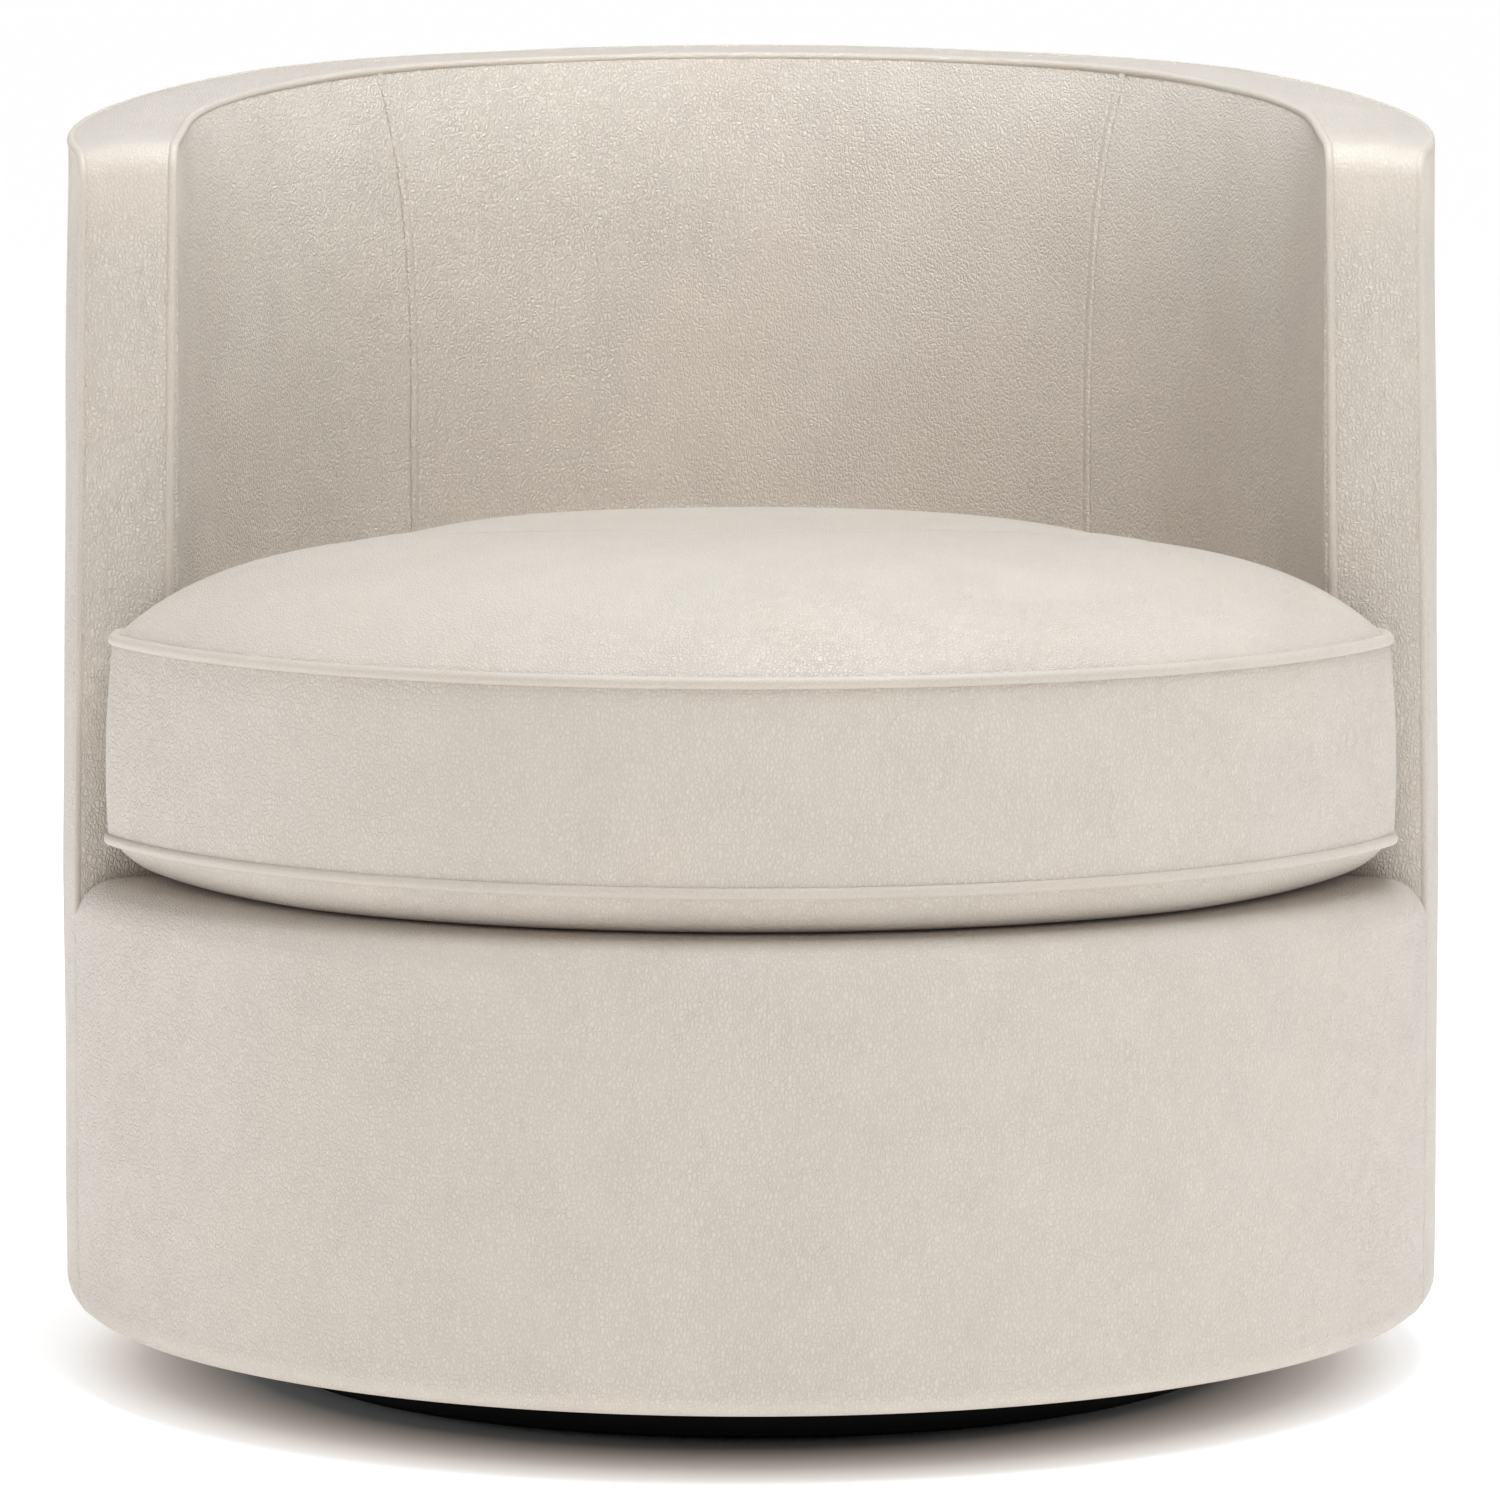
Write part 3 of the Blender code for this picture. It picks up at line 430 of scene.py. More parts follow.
class Finishes:
    """Every finish of the chair, made once."""

    def __init__(self) -> None:
        """Make the materials."""
        self.leather = Leather().material()
        self.welt_leather = Leather("cream leather over cord", (0.585, 0.512, 0.440), (0.590, 0.508, 0.433),
                                    (0.580, 0.514, 0.444), 700.0, 0.00014).material()
        self.lacquer = Lacquer().material()
        self.plywood = Wood("birch plywood", (0.62, 0.46, 0.28), (0.50, 0.34, 0.19)).material()
        self.hardboard = Wood("hardboard", (0.30, 0.19, 0.10), (0.22, 0.13, 0.07), (60.0, 60.0, 60.0),
                              0.8).material()
        self.steel = Metal("zinc plated steel", (0.52, 0.52, 0.53)).material()
        self.cloth = Woven("black backing cloth", (0.016, 0.016, 0.017)).material()
        self.tape = Woven("zip tape", (0.56, 0.50, 0.43), 1600.0).material()
        self.felt = Fleece("pressed felt", (0.50, 0.48, 0.43)).material()
        self.plastic = Moulded().material()


# Meshes


def grid_faces(rows: int, columns: int, around: bool = False, start: int = 0) -> Array:
    """Quads of a grid of points, row by row.

    Args:
        rows: number of rows.
        columns: number of points in a row.
        around: join each row's last point to its first.
        start: number of the grid's first point.

    Returns:
        An array of quads.
    """
    row = np.arange(rows - 1)[:, None] * columns
    here = np.arange(columns if around else columns - 1)[None, :]
    beside = (here + 1) % columns
    quads = np.stack([row + here, row + beside, row + columns + beside, row + columns + here], axis=-1)
    return quads.reshape(-1, 4) + start


def pole_faces(rows: int, size: int) -> Array:
    """Quads of closed rings whose first and last ring have shrunk to their first point."""
    quads = grid_faces(rows, size, True)
    last = (rows - 1) * size
    quads = np.where(quads < size, 0, quads)
    return np.where(quads >= last, last, quads)


def unit(ways: Array) -> Array:
    """Each vector of a list, made one long."""
    return ways / np.linalg.norm(ways, axis=1)[:, None]


def run_of(path: Array) -> Array:
    """Distance along a path to each of its points."""
    return np.concatenate([[0.0], np.cumsum(np.linalg.norm(np.diff(path, axis=0), axis=1))])


def even_outline(corners: Array, count: int | None = None, step: float = 1.0) -> Array:
    """A closed outline with evenly spaced points.

    Args:
        corners: n by 2 points of the outline, in order.
        count: number of points, or None to follow the step.
        step: distance between points.

    Returns:
        The even points, the first corner first.
    """
    closed = np.concatenate([corners, corners[:1]])
    run = run_of(closed)
    even = np.linspace(0, run[-1], (count or round(run[-1] / step)) + 1)[:-1]
    return np.column_stack([np.interp(even, run, closed[:, axis]) for axis in (0, 1)])


def joined(pieces: Sequence[tuple[Array, Array]]) -> tuple[Array, Array]:
    """Points and quads of several meshes as one."""
    starts = np.cumsum([0] + [len(points) for points, _ in pieces[:-1]])
    quads = [faces + start for (_, faces), start in zip(pieces, starts)]
    return np.concatenate([points for points, _ in pieces]), np.concatenate(quads)


def circle_places(count: int, radius: float, start: float) -> list[tuple[float, float]]:
    """Even places on a circle round the axis, the first one start shares of a step round."""
    angles = [2 * math.pi * (number + start) / count for number in range(count)]
    return [(radius * math.cos(angle), radius * math.sin(angle)) for angle in angles]


def volume_of(points: Array, quads: Array) -> float:
    """Signed volume of a closed mesh: a sixth of the triple products of its triangles, summed."""
    corner = points[quads]
    total = np.einsum("ij,ij->", corner[:, 0], np.cross(corner[:, 1], corner[:, 2]))
    total += np.einsum("ij,ij->", corner[:, 0], np.cross(corner[:, 2], corner[:, 3]))
    return float(total) / 6.0


def add_piece(name: str, points: Array, quads: Array, finish: Material, body: Body, slot: str,
              replaces: Sequence[str] = (), sharp: float = 180.0) -> bpy.types.Object:
    """Make a mesh piece that rides on a body, with the given finish.

    A quad with the same point twice becomes a triangle. Faces are turned to point outwards.

    Args:
        name: name of the piece.
        points: n by 3 places.
        quads: m by 4 point numbers of a closed surface.
        finish: the material.
        body: the body that it rides on.
        slot: name of its material slot; not used.
        replaces: nodes that it stands for.
        sharp: angle in degrees above which an edge stays sharp.

    Returns:
        The object.
    """
    points = points.reshape(-1, 3)
    used, quads = np.unique(quads, return_inverse=True)
    points, quads = points[used], quads.reshape(-1, 4)
    if volume_of(points, quads) < 0:
        quads = quads[:, ::-1]
    faces = [list(dict.fromkeys(quad)) for quad in quads.tolist()]
    mesh = bpy.data.meshes.new(name)
    mesh.from_pydata(points.tolist(), [], [face for face in faces if len(face) > 2])
    mesh.materials.append(finish)
    mesh.shade_smooth()
    if sharp < 180.0:
        mesh.set_sharp_from_angle(angle=math.radians(sharp))
    mesh.validate()
    piece = bpy.data.objects.new(name, mesh)
    bpy.context.collection.objects.link(piece)
    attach(piece, body.value)
    if replaces:
        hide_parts(*replaces)
    LOG.info("%s: %d points, %d faces", name, len(points), len(faces))
    return piece


def shell(front: Array, back: Array) -> tuple[Array, Array]:
    """A closed solid between two matching open grids.

    Each row runs along the front grid and back along the other one, and a strip of quads closes each end.

    Args:
        front: rows by columns by 3.
        back: the other face, the same shape.

    Returns:
        Points and quads.
    """
    rings = np.concatenate([front, back[:, ::-1]], axis=1)
    rows, size = rings.shape[:2]
    side = np.arange(size // 2 - 1)
    first = np.stack([side + 1, side, size - 1 - side, size - 2 - side], axis=1)
    last = np.stack([side, side + 1, size - 2 - side, size - 1 - side], axis=1) + (rows - 1) * size
    return rings.reshape(-1, 3), np.concatenate([grid_faces(rows, size, True), first, last])


def lathe(profile: Array, steps: int = 128, centre: tuple[float, float] = (0.0, 0.0)) -> tuple[Array, Array]:
    """A ring or a disc: each profile point (radius, height) goes round the axis through centre.

    A profile that starts and ends on the axis is a solid disc; any other is closed on itself.

    Args:
        profile: n by 2.
        steps: points round.
        centre: where the axis crosses the floor.

    Returns:
        Points and quads.
    """
    profile = np.asarray(profile, dtype=float)
    angle = np.arange(steps) / steps * 2 * math.pi
    disc = profile[0, 0] < 1e-6 and profile[-1, 0] < 1e-6
    if not disc:
        profile = np.concatenate([profile, profile[:1]])
    points = np.stack([centre[0] + np.outer(profile[:, 0], np.cos(angle)),
                       centre[1] + np.outer(profile[:, 0], np.sin(angle)),
                       np.repeat(profile[:, 1:], steps, axis=1)], axis=-1).reshape(-1, 3)
    if disc:
        return points, pole_faces(len(profile), steps)
    return points, grid_faces(len(profile), steps, True) % ((len(profile) - 1) * steps)


def softened(profile: Sequence[tuple[float, float]], radius: float, steps: int = 4) -> Array:
    """A profile with each inner corner rounded by a quadratic curve that starts radius before it.

    Args:
        profile: points (radius, height), with at least three.
        radius: how far from a corner the curve starts, at most 0.45 of the side.
        steps: points on each curve.

    Returns:
        The rounded profile.
    """
    profile = np.asarray(profile, dtype=float)
    before, corner, after = profile[:-2], profile[1:-1], profile[2:]
    back, on = before - corner, after - corner
    reach = [np.minimum(radius, 0.45 * np.linalg.norm(way, axis=1)) / np.linalg.norm(way, axis=1)
             for way in (back, on)]
    start, end = corner + back * reach[0][:, None], corner + on * reach[1][:, None]
    share = np.linspace(0, 1, steps)[None, :, None]
    curve = (start[:, None] * (1 - share) ** 2 + corner[:, None] * 2 * share * (1 - share)
             + end[:, None] * share ** 2)
    return np.concatenate([profile[:1], curve.reshape(-1, 2), profile[-1:]])


def cord(path: Array, beside: Array, radius: Array | float, sides: int = 14,
         closed: bool = False) -> tuple[Array, Array]:
    """A cord along a path: a circle across the path at each point.

    The circle's plane is square to the path, and beside gives the direction that its first point faces,
    made square to the path.

    Args:
        path: n by 3.
        beside: n by 3 or one vector, never along the path.
        radius: one radius, or one for each point of the circle at each place.
        sides: points of a circle.
        closed: join the end to the start.

    Returns:
        Points and quads.
    """
    if closed:
        run = np.roll(path, -1, axis=0) - np.roll(path, 1, axis=0)
    else:
        run = np.gradient(path, axis=0)
    run = unit(run)
    first = np.broadcast_to(beside, path.shape)
    first = unit(first - run * np.sum(first * run, axis=1)[:, None])
    second = np.cross(run, first)
    angle = np.arange(sides) / sides * 2 * math.pi
    radius = np.broadcast_to(radius, (len(path), sides))[..., None]
    rings = path[:, None] + radius * (np.cos(angle)[None, :, None] * first[:, None]
                                      + np.sin(angle)[None, :, None] * second[:, None])
    count = len(path)
    points = rings.reshape(-1, 3)
    if closed:
        return points, grid_faces(count + 1, sides, True) % (count * sides)
    side = np.arange(sides)
    turned = (side + 1) % sides
    near = np.full(sides, count * sides)
    base = (count - 1) * sides
    caps = np.concatenate([np.stack([turned, side, near, near], axis=1),
                           np.stack([base + side, base + turned, near + 1, near + 1], axis=1)])
    return (np.concatenate([points, path[:1], path[-1:]]),
            np.concatenate([grid_faces(count, sides, True), caps]))


def graded(marks: Sequence[float], coarse: float, fine: float, band: float) -> Array:
    """Places from the first mark to the last: fine steps within a band of each mark, coarse ones between.

    The step grows from fine to coarse with the distance from the nearest mark.

    Args:
        marks: places where the surface bends sharply, in order.
        coarse: longest step.
        fine: shortest step.
        band: distance over which the step grows.

    Returns:
        Increasing places, with every mark among them.
    """
    rows = []
    for low, high in zip(marks[:-1], marks[1:]):
        even = np.linspace(low, high, 4000)
        near = np.minimum(even - low, high - even)
        density = 1.0 / (fine + (coarse - fine) * np.clip(near / band, 0, 1))
        count = np.concatenate([[0.0], np.cumsum((density[1:] + density[:-1]) / 2 * np.diff(even))])
        total = max(1, round(count[-1]))
        rows.append(np.interp(np.linspace(0, count[-1], total + 1), count, even)[:-1])
    return np.concatenate(rows + [[marks[-1]]])


def unevenness(points: Array, length: float, height: float, seed: int) -> Array:
    """A smooth random relief: the sum of eight plane waves with random directions, lengths and starts.

    Args:
        points: places, last axis 3.
        length: mean wavelength in metres.
        height: rough height of the relief in metres.
        seed: picks the waves.

    Returns:
        One height for each point.
    """
    chance = np.random.default_rng(seed)
    ways = unit(chance.normal(size=(8, 3)))
    ways *= (2 * math.pi / (length * chance.uniform(0.7, 1.5, 8)))[:, None]
    return height * np.sin(points @ ways.T + chance.uniform(0, 2 * math.pi, 8)).sum(axis=-1) / 3.0


# The shape of the wall


@dataclass(frozen=True)
class WallForm:
    """Sizes and formulas of the drum-shaped wall, the same as in the solids.

    A place is t, the way round from the back centre (1 at the widest point), depth, the distance in from
    the outer face, and z, the height.
    """

    outer_radius: float = 0.407
    top_lean: float = 0.007
    lean_start: float = 0.30
    rim_z: float = 0.731
    rim_slope: float = 0.098
    wall: float = 0.0695
    rim_crown: float = 0.0012
    arm_front: float = 0.108
    arm_nose: float = 0.018
    under_z: float = 0.0378
    edge_round: float = 0.025
    turn_under: float = 0.045
    swell: float = 0.0365
    swell_reach: float = 0.070
    swell_full: float = 0.80
    swell_front: float = 0.10
    back_seam: float = 0.4956
    seat_edge: float = 0.300
    roll_radius: float = 0.022
    welt_radius: float = 0.0028
    welt_sink: float = 0.0016
    foam_out: float = 0.0379
    gap: float = 0.0003
    sag_places: tuple[float, ...] = (0.0, 0.25, 0.42, 0.55, 0.66, 0.80, 1.0)
    sag_drops: tuple[float, ...] = (0.0014, 0.0017, 0.0, -0.0006, 0.0011, 0.0030, 0.0034)
    inner_rises: tuple[float, ...] = (0.0011, 0.0016, 0.0034, 0.0034, 0.0023, 0.0017, 0.0012)
    outer_fade: float = 0.016
    inner_fade: float = 0.020
    sag_depth: float = 0.03
    foot_round: float = 0.016

    @property
    def arc(self) -> float:
        """Length of the wall from the back centre to a widest point."""
        return math.pi / 2 * self.outer_radius

    def face_radius(self, z: Array) -> Array:
        """Radius of the outer face: level below the seat, leaning in evenly above it."""
        share = np.clip((z - self.lean_start) / (self.rim_z - self.lean_start), 0, None)
        return self.outer_radius - self.top_lean * share

    def rim_height(self, y: Array | float) -> Array | float:
        """Height of the rim, rising evenly towards the back."""
        return self.rim_z + self.rim_slope * y

    def turn_of(self, front: Array | float) -> Array | float:
        """The place round of a distance in front of the axis."""
        return 1 + front / self.arc

    def front_of(self, t: Array) -> Array:
        """How far in front of the axis a place round lies, 0 behind it."""
        return np.clip(np.abs(t) - 1, 0, None) * self.arc

    def rim_y(self, t: Array, depth: Array) -> Array:
        """How far back a place on the rim lies."""
        angle = np.clip(np.abs(t), 0, 1) * math.pi / 2
        front = self.front_of(t)
        return np.where(front > 0, -front, (self.face_radius(self.rim_z) - depth) * np.cos(angle))

    def points(self, t: Array, depth: Array, z: Array) -> Array:
        """Points in the wall.

        Behind the axis a layer is a circle of the face radius less the depth. In front of it the outer
        layers stay on their circle and the inner ones run straight forward, blended by the depth.

        Args:
            t: places round.
            depth: distances in from the outer face.
            z: heights.

        Returns:
            Points, last axis 3.
        """
        t, depth, z = np.broadcast_arrays(t, depth, z)
        radius = self.face_radius(z) - depth
        angle = np.clip(np.abs(t), 0, 1) * math.pi / 2
        front = self.front_of(t)
        bowed = np.sqrt(np.clip(radius ** 2 - front ** 2, 0, None))
        room = self.welt_sink + self.welt_radius + self.gap
        straight = np.clip((depth - self.edge_round) / (self.wall - room - self.edge_round), 0, 1)
        x = np.where(front > 0, bowed + straight * (radius - bowed), radius * np.sin(angle))
        y = np.where(front > 0, -front, radius * np.cos(angle))
        return np.stack([np.sign(t) * x, y, z], axis=-1)

    def pad_depth(self, t: Array, below: Array) -> Array:
        """Depth of the inside face: it swells away from the rim, and less towards the arm fronts."""
        fade = np.clip((np.abs(t) - self.swell_full) / (self.turn_of(self.arm_front) - self.swell_full), 0, 1)
        share = 1 - (1 - self.swell_front) * (3 * fade ** 2 - 2 * fade ** 3)
        return self.wall + self.swell * share * (1 - np.exp(-np.clip(below, 0, None) / self.swell_reach))

    def sag(self, t: Array, depth: Array | float, drop: Array | float) -> Array:
        """How far the soft rim's edges lie below the solids' ones; less than 0 where they stand higher.

        The outer edge has sunk, most at the arms, and the inner one stands up a little. Both fade towards
        the middle of the rim and downwards.

        Args:
            t: places round.
            depth: distances in from the outer face.
            drop: distances below the rim.

        Returns:
            Drops in metres.
        """
        depth = np.asarray(depth)
        outer = np.interp(np.abs(t), self.sag_places, self.sag_drops)
        inner = np.interp(np.abs(t), self.sag_places, self.inner_rises)
        outer = outer * np.exp(-(depth / self.outer_fade) ** 2)
        inner = inner * np.exp(-((self.wall - depth) / self.inner_fade) ** 2)
        return (outer - inner) * np.clip(1 - np.asarray(drop) / self.sag_depth, 0, 1)

    def cover_top(self, t: Array, depth: Array, room: float) -> Array:
        """Height of a cover's upper edge, room under the rim and inside the nose of the arms."""
        reach = self.arm_nose - room
        past = np.clip(self.front_of(t) - (self.arm_front - self.arm_nose), 0, reach)
        drop = room + reach - np.sqrt(np.clip(reach ** 2 - past ** 2, 0, None))
        return self.rim_height(self.rim_y(t, depth)) - drop - self.sag(t, depth, drop)

    def strip_run(self, offset: float, low: float, step: float) -> tuple[Array, Array]:
        """The run of the rim strip, offset inside its face: up an arm front, round the rim and down again.

        Args:
            offset: distance inside the strip's face.
            low: height where it starts.
            step: longest step along it.

        Returns:
            Places round, and drops below the rim.
        """
        nose_z = self.rim_height(-(self.arm_front - self.arm_nose)) - self.arm_nose
        reach = self.arm_nose - offset
        up = np.linspace(low, nose_z, max(2, math.ceil((nose_z - low) / step)))[:-1]
        angle = np.linspace(math.pi / 2, 0, 13)
        back = np.linspace(self.arm_front - self.arm_nose, 0, max(3, math.ceil(0.09 / step)))[1:-1]
        front = np.concatenate([np.full(len(up), self.arm_front - offset),
                                self.arm_front - self.arm_nose + reach * np.sin(angle), back])
        height = np.concatenate([up, nose_z + reach * np.cos(angle), self.rim_height(-back) - offset])
        drop = self.rim_height(-front) - height
        middle = np.linspace(-1, 1, math.ceil(2 * self.arc / step))
        arm = self.turn_of(front)
        return (np.concatenate([-arm, middle, arm[::-1]]),
                np.concatenate([drop, np.full(len(middle), offset), drop[::-1]]))

    def under_rim(self, t: Array, depth: Array | float, drop: Array) -> Array:
        """Points in the wall at a drop below the rim, lower where the outer edge sags."""
        depth = np.broadcast_to(depth, np.shape(t))
        return self.points(t, depth, self.rim_height(self.rim_y(t, depth)) - drop - self.sag(t, depth, drop))


def seam_dip(distance: Array, depth: float = 0.0011, width: float = 0.0017) -> Array:
    """How far a cover sinks beside a welt: a bell curve of the distance to the seam.

    Args:
        distance: distance to the seam in metres.
        depth: depth at the seam.
        width: distance where it has faded to about a third.

    Returns:
        Depths in metres.
    """
    return depth * np.exp(-(distance / width) ** 2)


def puckers(along: Array, distance: Array, seed: int, height: float = 0.00022) -> Array:
    """Small folds that a tight seam pulls: uneven ripples along it that fade away from it.

    Args:
        along: distance along the seam in metres.
        distance: distance from the seam in metres.
        seed: picks the ripples.
        height: height of the ripples beside the seam.

    Returns:
        Heights in metres.
    """
    chance = np.random.default_rng(seed)
    lengths = chance.uniform(0.007, 0.017, 5)
    starts = chance.uniform(0, 2 * math.pi, 5)
    ripple = sum(np.sin(2 * math.pi * along / length + start) for length, start in zip(lengths, starts)) / 2.2
    return height * ripple * np.exp(-distance / 0.007)


# Covers of the wall


@dataclass
class WallCovers:
    """The leather over the drum: outside, rim strip, padded inside in three panels, front, and welts."""

    form: WallForm
    finishes: Finishes
    thickness: float = 0.0015
    step: float = 0.006
    band_width: float = 0.0066
    corner_round: float = 0.021
    pad_thickness: float = 0.019
    front_reach: float = 0.064
    top_rise: tuple[float, ...] = (0.0008, 0.0010, 0.0008, 0.0004)
    outer_sink: float = 0.0008

    def build(self) -> None:
        """Build every cover and welt of the wall."""
        self.build_outside()
        self.build_rim_strip()
        self.build_inside()
        self.build_front()
        self.build_welts()

    def edge_distance(self, t: Array, z: Array, top: Array, front: float) -> Array:
        """Distance on the surface to the welt that runs round a cover's top and front edges."""
        form = self.form
        ahead = np.clip(front - form.front_of(t) - np.clip(1 - np.abs(t), 0, None) * -form.arc, 0, None)
        nose_z = form.rim_height(-(form.arm_front - form.arm_nose)) - form.arm_nose
        reach = form.arm_nose - form.welt_sink
        past = form.front_of(t) - (form.arm_front - form.arm_nose)
        corner = np.where((past > 0) & (z > nose_z), reach - np.hypot(past, z - nose_z), np.inf)
        return np.minimum(np.minimum(top - z, ahead), corner)

    def build_outside(self) -> bpy.types.Object:
        """The outside cover: from under the board, round the lower edge and up to the outer welt.

        Returns:
            The piece.
        """
        form = self.form
        front = form.arm_front - form.welt_sink
        ends = form.turn_of(front)
        t = graded([-ends, ends], self.step / form.arc, 0.0009 / form.arc, 0.03 / form.arc)[:, None]
        angle = np.linspace(-math.pi / 2, 0, 9)[None, :]
        top = form.cover_top(t, 0.0, form.welt_sink)
        share = graded([0.0, 1.0], self.step / 0.68, 0.0009 / 0.68, 0.03 / 0.68)[None, 1:]
        low = form.under_z + form.foot_round
        layers = []
        for offset in (0.0, self.thickness):
            reach = form.foot_round - offset
            foot_depth = np.broadcast_to(np.concatenate(
                [[[form.turn_under, 0.035]], form.foot_round - reach * np.cos(angle)], axis=1),
                (len(t), 11))
            foot_z = np.broadcast_to(np.concatenate(
                [[[form.under_z + offset] * 2], low + reach * np.sin(angle)], axis=1), (len(t), 11))
            z = low + share * (top - low)
            ahead = front - form.front_of(t) + np.clip(1 - np.abs(t), 0, None) * form.arc
            ahead = np.broadcast_to(ahead, z.shape)
            distance = np.clip(self.edge_distance(t, z, top, front), 0, None)
            along = np.where(top - z < ahead, t * form.arc, z)
            dip = seam_dip(distance, 0.0013, 0.0012) - puckers(along, distance, 3)
            foot_dip = seam_dip(np.broadcast_to(ahead[:, :1], foot_z.shape))
            foot_dip = foot_dip * np.clip((foot_z - form.under_z) / 0.01, 0, 1)
            depth = np.concatenate([foot_depth + foot_dip, offset + dip], axis=1)
            z = np.concatenate([foot_z, z], axis=1)
            places = form.points(t, depth, z)
            depth = depth - unevenness(places, 0.16, 0.0005, 11) * np.clip((z - 0.06) / 0.05, 0, 1)
            layers.append(form.points(t, depth, z))
        points, quads = shell(*layers)
        return add_piece("outside_leather", points, quads, self.finishes.leather, Body.CHAIR, "leather",
                         ["outer_cover"])

    def build_rim_strip(self) -> bpy.types.Object:
        """The strip over the rim and down both arm fronts, domed between its two welts, with its pad.

        Its cross-section is half a sine wave between the welts, sunk beside each of them.

        Returns:
            The piece.
        """
        form = self.form
        low = form.seat_edge - form.roll_radius - 0.014
        depths = graded([form.welt_sink, form.wall - form.welt_sink], 0.0055, 0.0008, 0.012)
        across = (depths - depths[0]) / (depths[-1] - depths[0])
        edge = np.minimum(depths - depths[0], depths[-1] - depths)
        layers = []
        for inner in (False, True):
            columns = []
            for depth, share, away in zip(depths, across, edge):
                crown = form.rim_crown * math.sin(math.pi * share) ** 0.8
                t, drop = form.strip_run(0.0094 if inner else -crown, low, 0.005)
                if not inner:
                    ahead = np.clip((form.front_of(t) - 0.07) / 0.03, 0, 1)
                    drop = drop + float(seam_dip(np.array(away))) * (0.25 * (1 - ahead))
                    t = t - np.sign(t) * float(seam_dip(np.array(away))) * ahead / form.arc
                columns.append(form.under_rim(t, depth, drop))
            layers.append(np.stack(columns, axis=1))
        relief = unevenness(layers[0], 0.11, 0.0004, 23)
        layers[0][..., 2] += relief * np.clip((layers[0][..., 1] + form.arm_front - 0.01) / 0.06, 0, 1)
        points, quads = shell(*layers)
        piece = add_piece("rim_strip_leather", points, quads, self.finishes.leather, Body.CHAIR, "leather",
                          ["rim_cover", "rim_pad"])
        return piece

    def seam_band(self, from_seam: Array) -> Array:
        """Relief of a lapped, topstitched seam: a groove, a narrow raised band and a shallower groove.

        Args:
            from_seam: distance from the seam in metres, towards the back centre.

        Returns:
            Heights over the panel's face.
        """
        groove = -0.0002 * np.exp(-(from_seam / 0.0009) ** 2)
        stitched = -0.0005 * np.exp(-((from_seam - self.band_width) / 0.0010) ** 2)
        rise = 0.0011 * np.clip(from_seam / 0.0014, 0, 1)
        rise = rise * np.clip((self.band_width - from_seam) / 0.0040, 0, 1)
        return groove + stitched + rise

    def inside_panel(self, name: str, t: Array, nodes: Sequence[str], seed: int) -> bpy.types.Object:
        """One padded panel of the inside, between seams, from the deck to the inner welt.

        Args:
            name: name of the piece.
            t: places round, in order.
            nodes: nodes that it stands for.
            seed: picks its relief.

        Returns:
            The piece.
        """
        form = self.form
        t = t[:, None]
        front = form.arm_front - form.welt_sink
        top = form.cover_top(t, form.wall - form.welt_sink, form.welt_sink - 0.0012)
        low = form.seat_edge + 0.0006
        share = graded([0.0, 1.0], 0.005 / 0.44, 0.0009 / 0.44, 0.03 / 0.44)[None, :]
        z = low + share * (top - low)
        below = form.rim_height(form.rim_y(t, form.wall)) - z
        distance = np.clip(self.edge_distance(t, z, top, front), 0, None)
        along = np.where(top - z < 0.02, t * form.arc * 0.8, z)
        from_seam = (form.back_seam - np.abs(t)) * form.arc * 0.78
        depth = form.pad_depth(t, below) - seam_dip(distance, 0.0013, 0.0013) + puckers(along, distance, seed)
        depth = depth + self.seam_band(from_seam)
        relief = unevenness(form.points(t, depth, z), 0.13, 0.0006, seed)
        depth = depth + relief * np.clip(distance / 0.03, 0, 1)
        back = np.minimum(form.foam_out, depth - 0.004)
        points, quads = shell(form.points(t, depth, z), form.points(t, back, z))
        piece = add_piece(name, points, quads, self.finishes.leather, Body.CHAIR, "leather", nodes)
        return piece

    def build_inside(self) -> list[bpy.types.Object]:
        """The inside back and the two inside arms.

        Returns:
            The three pieces.
        """
        form = self.form
        seam, slit = form.back_seam, 0.0001 / form.arc
        fine, coarse = 0.0005 / form.arc, 0.0062 / form.arc
        band = self.band_width / (form.arc * 0.78)
        middle = graded([-seam + slit, -seam + band, seam - band, seam - slit], coarse, fine, 0.02 / form.arc)
        side = graded([seam + slit, form.turn_of(form.arm_front - form.welt_sink)], coarse, 0.0009 / form.arc,
                      0.03 / form.arc)
        return [self.inside_panel("inside_back", middle, ["inside_back_cover", "back_foam"], 31),
                self.inside_panel("inside_arm_left", -side[::-1], ["inside_arm_cover_left"], 37),
                self.inside_panel("inside_arm_right", side, ["inside_arm_cover_right"], 41)]

    def front_points(self, u: Array, depth: Array, z: Array) -> Array:
        """Points in the front panel: u from -1 to 1 goes along its arc from seam to seam."""
        form = self.form
        radius = form.outer_radius - depth
        line = form.arm_front - form.welt_sink + 0.0006
        angle = u * np.arccos(line / radius)
        return np.stack([radius * np.sin(angle), -radius * np.cos(angle), z], axis=-1)

